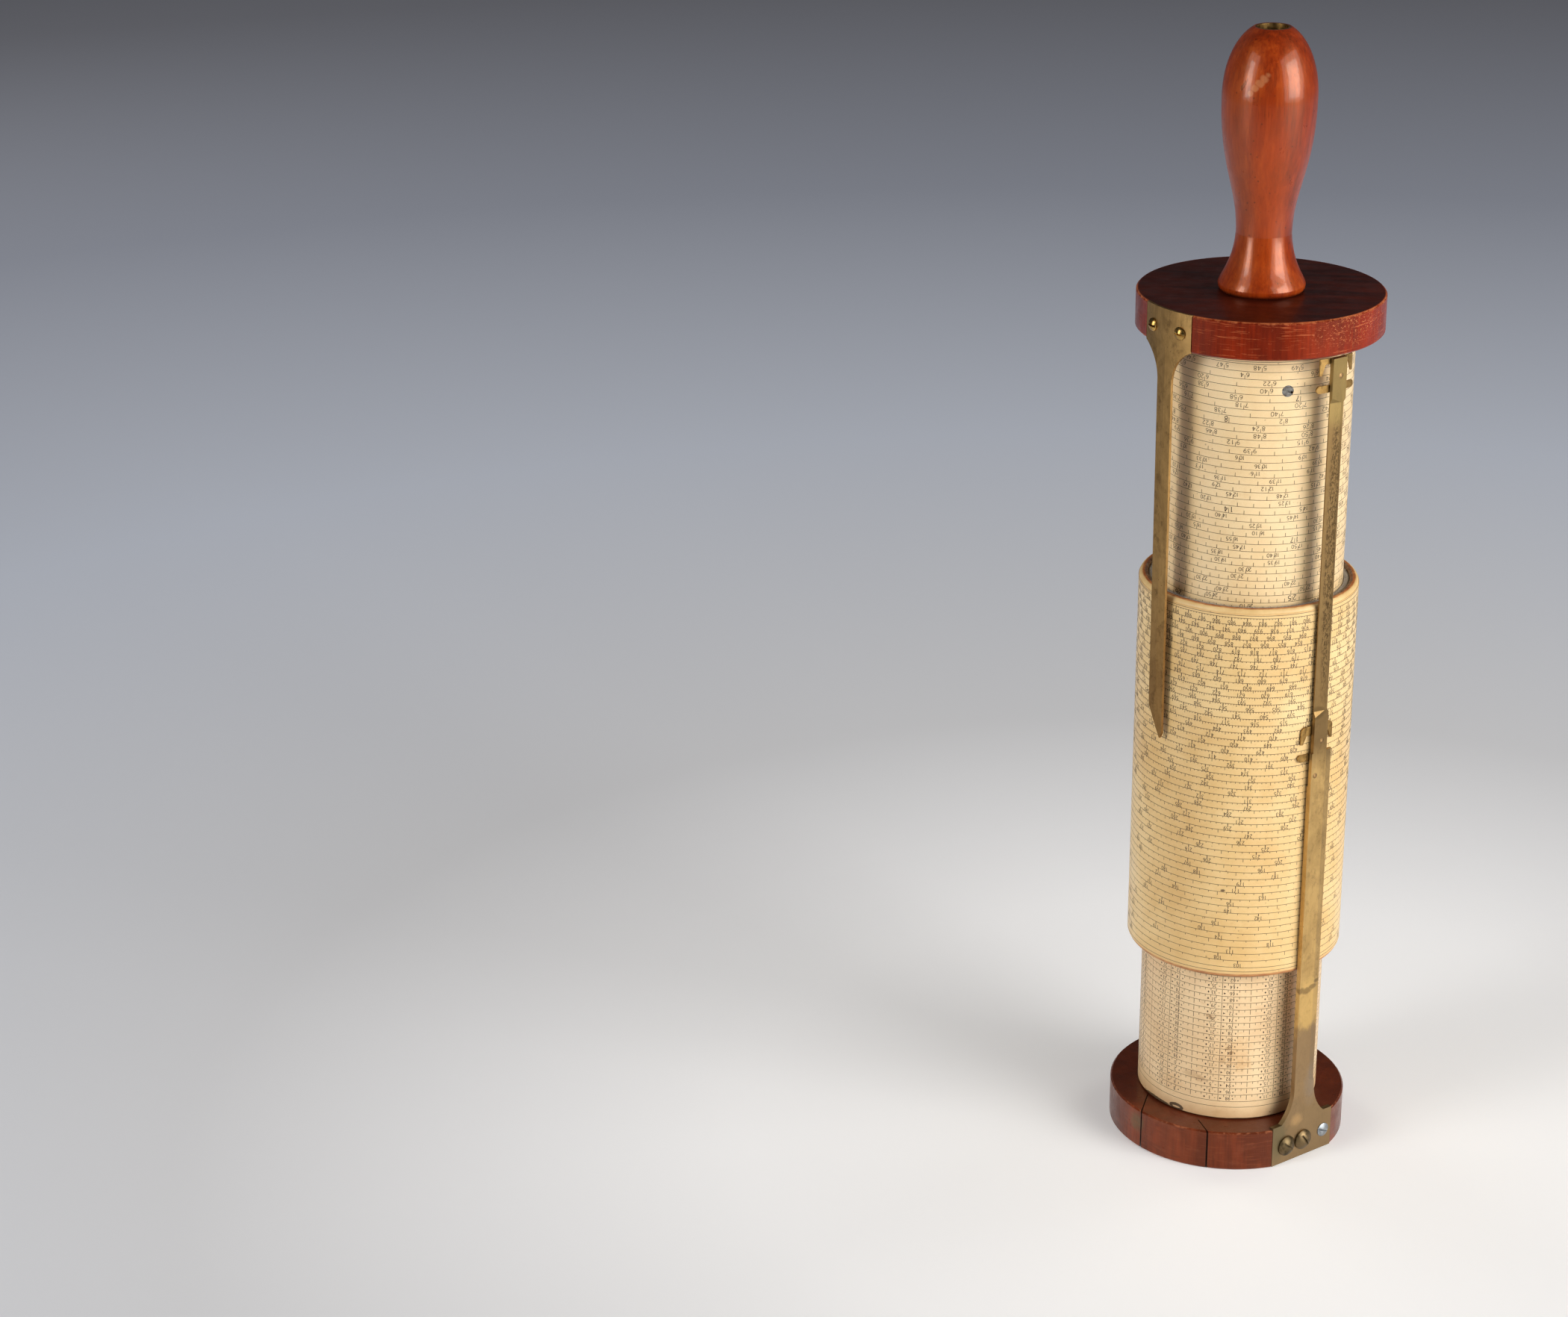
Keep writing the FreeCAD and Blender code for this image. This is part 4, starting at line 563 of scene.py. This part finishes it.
dress(handle_look(), "handle")
dress(disc_look(), "top_disc")
dress(base_look(), "base_disc")
PLUG_TONES = srgb(110, 72, 40), srgb(150, 106, 66), srgb(184, 138, 92)
dress(plain_wood("plug_wood_turned", PLUG_TONES, 0.6, 90),
      "base_plug", "cylinder_plug", "sliding_tube_pins")
dress(drum_paper_look(), "main_scale_sheet")
dress(upper_paper_look(), "sine_scale_sheet")
dress(lower_paper_look(), "log_scale_sheet")
dress(drum_wall_look(), "drum_shell")
dress(pasteboard_look("cylinder_board", srgb(84, 46, 28), srgb(128, 78, 50)),
      "inner_cylinder", "sliding_tube")
dress(fixed_index_look(), "fixed_index")
dress(long_index_look(), "long_index")
dress(simple_brass("pointer_tarnished_brass",
                   srgb(176, 140, 82), srgb(116, 86, 46), srgb(58, 42, 24), 0.6, 0.42),
      "upper_pointer", "lower_pointer")
dress(simple_brass("rivet_brass",
                   srgb(158, 126, 84), srgb(118, 90, 58), srgb(64, 48, 34), 0.5, 0.45), "pointer_rivets")
dress(simple_brass("index_screw_aged_brass",
                   srgb(206, 166, 94), srgb(128, 92, 44), srgb(60, 40, 20), 0.5, 0.24),
      "fixed_index_screws")
dress(simple_brass("foot_screw_aged_brass",
                   srgb(124, 104, 74), srgb(84, 72, 50), srgb(42, 36, 26), 0.7, 0.42),
      "foot_screws_large")
dress(simple_brass("ferrule_brass",
                   srgb(186, 150, 90), srgb(130, 100, 56), srgb(60, 44, 26), 0.6, 0.36), "handle_ferrule")
dress(grey_metal("small_screw_zinc", srgb(176, 182, 186), srgb(120, 124, 128), 0.42), "foot_screw_small")
dress(grey_metal("steel_screw", srgb(150, 148, 142), srgb(84, 80, 74), 0.4),
      "cylinder_screws", "handle_screw", "handle_washer")

FELT = cloth_look("felt_dusty_grey", srgb(96, 88, 78), srgb(186, 176, 160))
FLUFF = cloth_look("felt_pale_fluff", srgb(168, 160, 148), srgb(214, 206, 194))
LINING = cloth_look("lining_green_cloth", srgb(26, 44, 34), srgb(62, 88, 70))


# Felt and cloth rings


def mesh_piece(name, vertices, faces, look, body, smooth=True):
    mesh = bpy.data.meshes.new(name)
    mesh.from_pydata([tuple(v) for v in vertices], [], faces)
    mesh.update()
    if smooth:
        mesh.shade_smooth()
    mesh.materials.append(look.material)
    piece = bpy.data.objects.new(name, mesh)
    bpy.context.scene.collection.objects.link(piece)
    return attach(piece, body)


RING_STEPS = 180
RING_FACES = 6


def soft_ring(name, node, body, look, rounding, seed):
    """A felt or cloth ring in a CAD ring's place, with soft rounded edges and an uneven nap."""
    low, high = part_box(node)
    radii = sorted({round(math.hypot(v.co.x, v.co.y), 6) for v in NODES[node].data.vertices})
    inner, outer = radii[0], radii[-1]
    rounding = rounding * MM
    profile = []
    corners = ((outer, high.z, 0), (inner, high.z, 90), (inner, low.z, 180), (outer, low.z, 270))
    for radius, z, start in corners:
        side = -1 if radius == outer else 1
        up = -1 if z == high.z else 1
        for k in range(RING_FACES + 1):
            turn = math.radians(start + 90 * k / RING_FACES)
            corner_r = radius + side * rounding + rounding * math.cos(turn)
            corner_z = z + up * rounding + rounding * math.sin(turn)
            profile.append((corner_r, corner_z))
    middle_r, middle_z = (inner + outer) / 2, (low.z + high.z) / 2
    vertices, faces = [], []
    count = len(profile)
    for i in range(RING_STEPS):
        angle = 2 * math.pi * i / RING_STEPS
        for radius, z in profile:
            place = Vector((math.sin(angle), -math.cos(angle), z * 30)) * 40
            shrink = 0.1 * (0.5 + 0.5 * noise.noise(place + Vector((seed, 0, 0))))
            r = radius + (middle_r - radius) * shrink
            h = z + (middle_z - z) * shrink * 0.05
            vertices.append((r * math.sin(angle), -r * math.cos(angle), h))
        for k in range(count):
            a, b = i * count + k, i * count + (k + 1) % count
            c, d = ((i + 1) % RING_STEPS) * count + (k + 1) % count, ((i + 1) % RING_STEPS) * count + k
            faces.append((a, b, c, d))
    piece = mesh_piece(name, vertices, faces, look, body)
    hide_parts(node)
    return inner, outer, low.z, high.z


def fibres(name, body, look, inner, outer, z, count, longest, seed):
    """Loose felt fibres and fluff lying on a ring's end, as thin bent blades."""
    chance = random.Random(seed)
    vertices, faces = [], []
    for _ in range(count):
        angle = chance.uniform(0, 2 * math.pi)
        radius = chance.uniform(inner + 0.25 * MM, outer - 0.25 * MM)
        spot = Vector((radius * math.sin(angle), -radius * math.cos(angle), z - 0.05 * MM))
        heading = chance.uniform(0, 2 * math.pi)
        direction = Vector((math.cos(heading), math.sin(heading), chance.uniform(0.05, 0.7)))
        length = chance.uniform(0.25, 1.0) * longest * MM
        width = chance.uniform(0.025, 0.05) * MM
        side = direction.cross(Vector((0, 0, 1))).normalized() * width
        start = len(vertices)
        steps = 4
        for k in range(steps + 1):
            share = k / steps
            bend = Vector((chance.uniform(-1, 1), chance.uniform(-1, 1), 0)) * 0.12 * MM
            point = spot + direction * length * share + bend * share
            away = math.hypot(point.x, point.y)
            held = min(max(away, inner + 0.1 * MM), outer - 0.1 * MM)
            point.x *= held / away
            point.y *= held / away
            thin = side * (1 - 0.8 * share)
            vertices += [point - thin, point + thin]
            if k:
                a = start + 2 * k
                faces.append((a - 2, a - 1, a + 1, a))
    mesh_piece(name, vertices, faces, look, body)


upper = soft_ring("drum_felt_upper_soft", "drum_felt_upper", "drum_linings", FELT, 0.5, 3)
soft_ring("drum_felt_lower_soft", "drum_felt_lower", "drum_linings", FELT, 0.5, 17)
soft_ring("mouth_lining_soft", "mouth_lining", "telescope_lining", LINING, 0.25, 31)
soft_ring("tube_lining_soft", "sliding_tube_lining", "index_carrier", LINING, 0.25, 47)
fibres("drum_felt_fluff", "drum_linings", FLUFF, upper[0], upper[1], upper[3], 2600, 1.7, 5)


# Printing

# How far the ink lies off the paper, and how wide lines, ticks and the strokes of figures are, in mm
INK_LIFT = 0.025
LINE_WIDTH = 0.16
TICK_WIDTH = 0.16
STROKE_WIDTH = 0.18
RING_SEGMENTS = 240
HELIX_SEGMENTS = 180



def ink_look(name, dark, light):
    look = Look(name, Roughness=0.45, Coat_Weight=0.15, Coat_Roughness=0.25)
    look.set("Base Color", look.ramp(look.noise(0.6, detail=4, rough=0.7), (0.3, dark), (0.75, light)))
    look.bump(look.noise(0.3, detail=3), 0.01, 0.5)
    return look


INK = ink_look("printing_ink", srgb(40, 28, 18), srgb(86, 62, 40))
LINE_INK = ink_look("printing_ink_lines", srgb(66, 48, 30), srgb(108, 80, 52))

DIGITS = {
    "0": (((3, 10), (1, 9), (0.1, 7), (0, 5), (0.1, 3), (1, 1), (3, 0),
           (5, 1), (5.9, 3), (6, 5), (5.9, 7), (5, 9), (3, 10)),),
    "1": (((1.4, 8.4), (3.2, 10), (3.2, 0)),),
    "2": (((0.4, 7.8), (0.9, 9.2), (2.8, 10), (4.9, 9.3), (5.6, 7.5), (4.9, 5.4), (2.6, 2.8), (0.2, 0)),
          ((0.2, 0), (6, 0))),
    "3": (((0.5, 8.8), (2.6, 10), (4.8, 9.2), (5.3, 7.3), (4.2, 5.7), (2.2, 5.3)),
          ((2.2, 5.3), (4.6, 5.0), (5.9, 3.4), (5.3, 1), (2.9, 0), (0.2, 1.2))),
    "4": (((4.4, 0), (4.4, 10)), ((4.4, 10), (0, 3)), ((0, 3), (6.2, 3))),
    "5": (((5.4, 10), (1.1, 10)), ((1.1, 10), (0.6, 5.4)),
          ((0.6, 5.4), (2.8, 6.3), (5.1, 5.4), (5.9, 3.2), (5, 0.9), (2.7, 0), (0.2, 1.1))),
    "6": (((5.1, 9.4), (3.2, 9.6), (1.2, 7.6), (0.2, 4.6), (0.5, 1.6), (2.9, 0),
           (5.3, 1), (5.9, 3.2), (4.8, 5.3), (2.9, 5.8), (1.1, 4.9), (0.2, 3.2)),),
    "7": (((0, 10), (6, 10)), ((6, 10), (3.2, 5.2), (2, 0))),
    "8": (((3, 5.4), (1.1, 6.3), (0.7, 8.2), (1.7, 9.7), (3, 10), (4.3, 9.7), (5.3, 8.2), (4.9, 6.3),
           (3, 5.4), (0.6, 3.9), (0.2, 2), (1.3, 0.4), (3, 0), (4.7, 0.4), (5.8, 2), (5.4, 3.9), (3, 5.4)),),
    "9": (((0.9, 0.6), (2.8, 0.4), (4.8, 2.4), (5.8, 5.4), (5.5, 8.4), (3.1, 10),
           (0.7, 9), (0.1, 6.8), (1.2, 4.7), (3.1, 4.2), (4.9, 5.1), (5.8, 6.8)),),
    "'": (((3, 10), (3, 7.4)),),
    "-": (((0.6, 5), (5.4, 5)),),
    "+": (((0.4, 5), (5.6, 5)), ((3, 2.4), (3, 7.6))),
    "<": (((3, 8.2), (0.4, 5), (3, 1.8), (5.6, 5), (3, 8.2)), ((1.4, 5), (4.6, 5)), ((3, 7), (3, 3))),
}


class Print:
    """Printed marks on one sheet, drawn flat and wrapped round it.

    In the flat drawing u runs to the right along the arc and v runs up, both in mm.
    """

    def __init__(self, name, radius, body):
        self.name, self.radius, self.body = name, radius, body
        self.vertices, self.faces = [], []

    def place(self, u, v):
        return on_cylinder(self.radius + INK_LIFT, math.degrees(u / self.radius), v)

    def stroke(self, points, width):
        """A ribbon along the points."""
        last = len(points) - 1
        start = len(self.vertices)
        closed = last > 2 and points[0] == points[last]
        for i, (u, v) in enumerate(points):
            before = points[i - 1] if i else (points[last - 1] if closed else points[0])
            after = points[i + 1] if i < last else (points[1] if closed else points[last])
            du, dv = after[0] - before[0], after[1] - before[1]
            length = math.hypot(du, dv) or 1.0
            nu, nv = -dv / length * width / 2, du / length * width / 2
            self.vertices += [self.place(u + nu, v + nv), self.place(u - nu, v - nv)]
            if i:
                a = start + 2 * i
                self.faces.append((a - 2, a - 1, a + 1, a))

    def fill(self, corners):
        start = len(self.vertices)
        self.vertices += [self.place(u, v) for u, v in corners]
        self.faces.append(tuple(range(start, start + len(corners)))[::-1])

    def ring(self, z):
        around = 2 * math.pi * self.radius
        self.stroke([(around * k / RING_SEGMENTS, z) for k in range(RING_SEGMENTS + 1)], LINE_WIDTH)

    def text(self, u, v, words, high, advance, chance, width=STROKE_WIDTH, slim=0.8):
        """Words centred at a point and printed upside down, each digit a little uneven, as engraved."""
        scale = high / 10
        for k, letter in enumerate(words):
            x0 = (k - (len(words) - 1) / 2) * advance + chance.uniform(-0.04, 0.04)
            y0 = chance.uniform(-0.03, 0.03)
            for line in DIGITS[letter]:
                path = [((x - 3) * scale * slim + x0, (y - 5) * scale + y0) for x, y in line]
                self.stroke([(u - x, v - y) for x, y in path], width)

    def done(self, look=INK):
        return mesh_piece(self.name, self.vertices, self.faces, look, self.body, False)


def helix(sheet, start, end, place):
    """The long scale's own line, from one turn count to another."""
    steps = int((end - start) * HELIX_SEGMENTS)
    sheet.stroke([place(start + (end - start) * k / steps) for k in range(steps + 1)], LINE_WIDTH)


PITCH = 2.8017
TURNS = 50

# The drum's scale: numbers 100 to 999 over fifty turns, increasing to the left and upward.
DRUM_PHASE = 0.651
DRUM_LOW = 84.92
DRUM_RINGS = (225.04, 82.16)


def drum_turn(number):
    return TURNS * math.log10(number / 100)


def drum_place(turn):
    """Where the scale line is at that count of turns. The arc runs on from turn to turn."""
    return (2 * math.pi * DRUM_RADIUS * (DRUM_PHASE - turn), DRUM_LOW + PITCH * turn)


def drum_scale():
    chance = random.Random(11)
    lines = Print("drum_scale_lines", DRUM_RADIUS, "drum")
    helix(lines, -0.92, 50.04, drum_place)
    for z in DRUM_RINGS:
        lines.ring(z)
    lines.done(LINE_INK)
    ticks = Print("drum_scale_ticks", DRUM_RADIUS, "drum")
    numbers = Print("drum_scale_numbers", DRUM_RADIUS, "drum")
    for tenth in range(1000, 10001):
        if tenth > 6500 and tenth % 2:
            continue
        turn = drum_turn(tenth / 10)
        u, v = drum_place(turn)
        if tenth % 10 == 0:
            ticks.stroke([(u, v), (u, v - 1.05)], 0.28)
            if tenth < 10000:
                numbers.text(u, v - 1.96, str(tenth // 10), 1.5, 1.04, chance)
        else:
            share = turn / TURNS
            long = 1.55 - 0.75 * share if tenth % 5 == 0 else 0.72 - 0.32 * share
            ticks.stroke([(u, v), (u, v - long)], TICK_WIDTH)
    ticks.done()
    numbers.done()


# The upper scale: logarithms of sines, increasing to the right and downward.
SINE_PHASE = 0.2211
SINE_TOP = 314.75
SINE_FIRST = 5.7392
SINE_LAST = 90
SINE_RINGS = (318.4, 166.9)


def sine_turn(degrees):
    return TURNS * math.log10(math.sin(math.radians(degrees)) * 10)


def sine_place(turn):
    return (2 * math.pi * TUBE_RADIUS * (turn - SINE_PHASE), SINE_TOP - PITCH * (turn - SINE_PHASE))


def sine_scale():
    chance = random.Random(23)
    lines = Print("sine_scale_lines", TUBE_RADIUS, "handle_body")
    helix(lines, -0.9, sine_turn(SINE_LAST), sine_place)
    for z in SINE_RINGS:
        lines.ring(z)
    lines.done(LINE_INK)
    ticks = Print("sine_scale_ticks", TUBE_RADIUS, "handle_body")
    numbers = Print("sine_scale_numbers", TUBE_RADIUS, "handle_body")
    minute = math.ceil(SINE_FIRST * 60)
    while minute <= SINE_LAST * 60:
        degrees, rest = divmod(minute, 60)
        u, v = sine_place(sine_turn(minute / 60))
        high, advance, slim = (1.55, 1.4, 1.1) if degrees < 10 else (1.42, 1.15, 0.95)
        if rest == 0 and (degrees < 87 or degrees == SINE_LAST):
            sine_degree(numbers, ticks, u, v, str(degrees), chance)
        elif labelled(degrees, rest):
            wide = len(str(rest))
            numbers.text(u + 1.05, v + 1.58, str(degrees), high, 0.9, chance, STROKE_WIDTH, slim)
            left = u - 1.0 - advance / 2 * (wide - 1)
            numbers.text(left, v + 1.5, str(rest), high, advance, chance, STROKE_WIDTH, slim)
            ticks.stroke([(u, v), (u + 0.08, v + 1.5)], TICK_WIDTH)
        else:
            ticks.stroke([(u, v), (u, v + 1.42)], TICK_WIDTH)
        minute += sine_step(degrees)
    ticks.done()
    numbers.done()


def sine_step(degrees):
    """Minutes from one tick to the next: the ticks keep about a millimetre apart."""
    for below, minutes in ((50, 1), (65, 2), (80, 5), (85, 10), (88, 30)):
        if degrees < below:
            return minutes
    return 60


def sine_degree(numbers, ticks, u, v, words, chance):
    """A whole degree in bold: its last figure left of a long tick, its first one right of it."""
    ticks.stroke([(u, v), (u, v + 2.0)], TICK_WIDTH)
    numbers.text(u - 1.05, v + 1.4, words[-1], 1.95, 1.0, chance, 0.26, 0.95)
    if len(words) > 1:
        numbers.text(u + 0.95, v + 1.4, words[0], 1.95, 1.0, chance, 0.26, 0.95)


def labelled(degrees, minutes):
    """True where the sine scale has a number. The numbers stand closer together at small angles."""
    for below, every in ((6, 1), (9, 2), (13, 3), (20, 5), (65, 10), (75, 30)):
        if degrees < below:
            return minutes % every == 0
    return False


# The lower scale: a table of logarithms, in rows with two numbers to each group.
LOG_ROWS = 50
LOG_FIRST = 23.8
LOG_RING = 21.4
LOG_STEP = 18.0
LOG_GROUP_AZIMUTH = -4.7


def log_scale():
    chance = random.Random(37)
    lines = Print("log_scale_lines", TUBE_RADIUS, "handle_body")
    ticks = Print("log_scale_ticks", TUBE_RADIUS, "handle_body")
    numbers = Print("log_scale_numbers", TUBE_RADIUS, "handle_body")
    lines.ring(LOG_RING)
    lines.ring(LOG_FIRST)
    arc = math.radians(1) * TUBE_RADIUS
    for row in range(LOG_ROWS):
        v = LOG_FIRST + PITCH * (row + 1)
        lines.ring(v)
        for k in range(100):
            azimuth = LOG_GROUP_AZIMUTH + k * LOG_STEP / 5
            u = azimuth * arc
            share = 0.34 if k % 5 else 0.72 if k % 10 else 0.86
            ticks.stroke([(u, v), (u, v - PITCH * share)], TICK_WIDTH)
        for group in range(10):
            u = (LOG_GROUP_AZIMUTH + group * 2 * LOG_STEP) * arc
            low = v - PITCH * 0.57
            value = (2 * row + 1 + 10 * group) % 100
            numbers.text(u - 5.3, low, "<", 1.0, 1.0, chance, 0.3)
            numbers.text(u - 3.2, low, str(value), 1.36, 0.95, chance)
            numbers.text(u - 1.2, low, "-", 1.36, 1.0, chance)
            numbers.text(u + 3.75, low, str(99 - value), 1.36, 1.0, chance)
            numbers.text(u + 5.6, low, "+", 1.36, 1.0, chance)
            numbers.fill([(u + 0.6, low - 0.42), (u + 1.35, low), (u + 0.6, low + 0.42)])
    lines.done(LINE_INK)
    ticks.done()
    numbers.done()


drum_scale()
sine_scale()
log_scale()


# Stage, light and camera


def stage_piece(name, vertices, faces, material):
    mesh = bpy.data.meshes.new(name)
    mesh.from_pydata(vertices, [], faces)
    mesh.materials.append(material)
    piece = bpy.data.objects.new(name, mesh)
    bpy.context.scene.collection.objects.link(piece)
    return piece


def floor_material():
    """A pale floor that turns grey-blue far away, lifted to its own colour where it is seen."""
    look = Look("floor_pale", Roughness=0.55, Specular_IOR_Level=0.25)
    distance = look.times(look.radius(), MM / 2.4)
    colour = look.ramp(
        distance,
        (0.0, srgb(243, 242, 241)), (0.08, srgb(238, 237, 237)), (0.17, srgb(202, 202, 204)),
        (0.36, srgb(188, 193, 204)), (0.62, srgb(152, 156, 168)), (0.95, srgb(130, 131, 139)),
    )
    look.set("Base Color", colour)
    look.bump(look.noise(30, detail=6), 0.1, 0.2)
    look.set("Emission Color", colour)
    path = look.node("ShaderNodeLightPath").outputs
    seen = look.larger(path["Is Camera Ray"], path["Is Glossy Ray"])
    seen = look.larger(seen, path["Is Transmission Ray"])
    look.set("Emission Strength", look.times(seen, FLOOR_LIFT))
    return look.material


FLOOR_LIFT = 0.24
FLOOR_RADIUS = 14.0
angles = [math.radians(degrees) for degrees in range(0, 360, 4)]
rim = [(FLOOR_RADIUS * math.cos(angle), FLOOR_RADIUS * math.sin(angle), 0.0) for angle in angles]
stage_piece("floor", rim, [tuple(range(len(rim)))], floor_material())


WARM = (1.0, 0.985, 0.96)

def soft_light(name, azimuth, distance, width, low, high, watts):
    """A tall soft panel that faces the instrument's middle."""
    light = bpy.data.lights.new(name, "AREA")
    light.shape = "RECTANGLE"
    light.size, light.size_y = width, high - low
    light.energy = watts
    light.color = WARM
    lamp = bpy.data.objects.new(name, light)
    bpy.context.scene.collection.objects.link(lamp)
    angle = math.radians(azimuth)
    lamp.location = (distance * math.sin(angle), -distance * math.cos(angle), (low + high) / 2)
    aim = Vector((0, 0, 0.2)) - lamp.location
    lamp.rotation_euler = aim.to_track_quat("-Z", "Y").to_euler()
    lamp.visible_camera = False
    return lamp


soft_light("light_left", -54, 1.7, 0.42, 0.15, 1.25, 9.0)
soft_light("light_left_rim", -54, 1.72, 0.95, 0.02, 1.6, 9.0)
soft_light("light_right", 61, 1.7, 0.95, 0.15, 1.25, 20.0)
soft_light("light_right_rim", 61, 1.72, 1.9, 0.02, 1.6, 23.0)
soft_light("light_back_left", -130, 2.0, 0.9, 0.5, 1.7, 6.0).visible_glossy = False
soft_light("light_back_right", 130, 2.0, 0.9, 0.5, 1.7, 6.0).visible_glossy = False

world = bpy.data.worlds.new("room")
world.use_nodes = True
world.node_tree.nodes["Background"].inputs["Color"].default_value = (0.055, 0.056, 0.06, 1.0)
bpy.context.scene.world = world
bpy.context.scene.view_settings.view_transform = "Standard"

CAMERA_PLACE = (0.0, -1.239305, 0.681709)
CAMERA_YAW, CAMERA_PITCH, CAMERA_ROLL = -7.996, 21.676, -0.420
CAMERA_LENS = 81.085


def add_camera():
    yaw, pitch, roll = (math.radians(a) for a in (CAMERA_YAW, CAMERA_PITCH, CAMERA_ROLL))
    forward = Vector((math.sin(yaw) * math.cos(pitch), math.cos(yaw) * math.cos(pitch), -math.sin(pitch)))
    level = forward.cross(Vector((0, 0, 1))).normalized()
    upright = level.cross(forward)
    right = level * math.cos(roll) + upright * math.sin(roll)
    up = upright * math.cos(roll) - level * math.sin(roll)
    data = bpy.data.cameras.new("camera")
    data.lens = CAMERA_LENS
    data.sensor_width = 36.0
    data.sensor_fit = "HORIZONTAL"
    data.clip_start, data.clip_end = 0.05, 60.0
    camera = bpy.data.objects.new("camera", data)
    bpy.context.scene.collection.objects.link(camera)
    turn = Matrix((right, up, -forward)).transposed().to_4x4()
    camera.matrix_world = Matrix.Translation(CAMERA_PLACE) @ turn
    bpy.context.scene.camera = camera


add_camera()
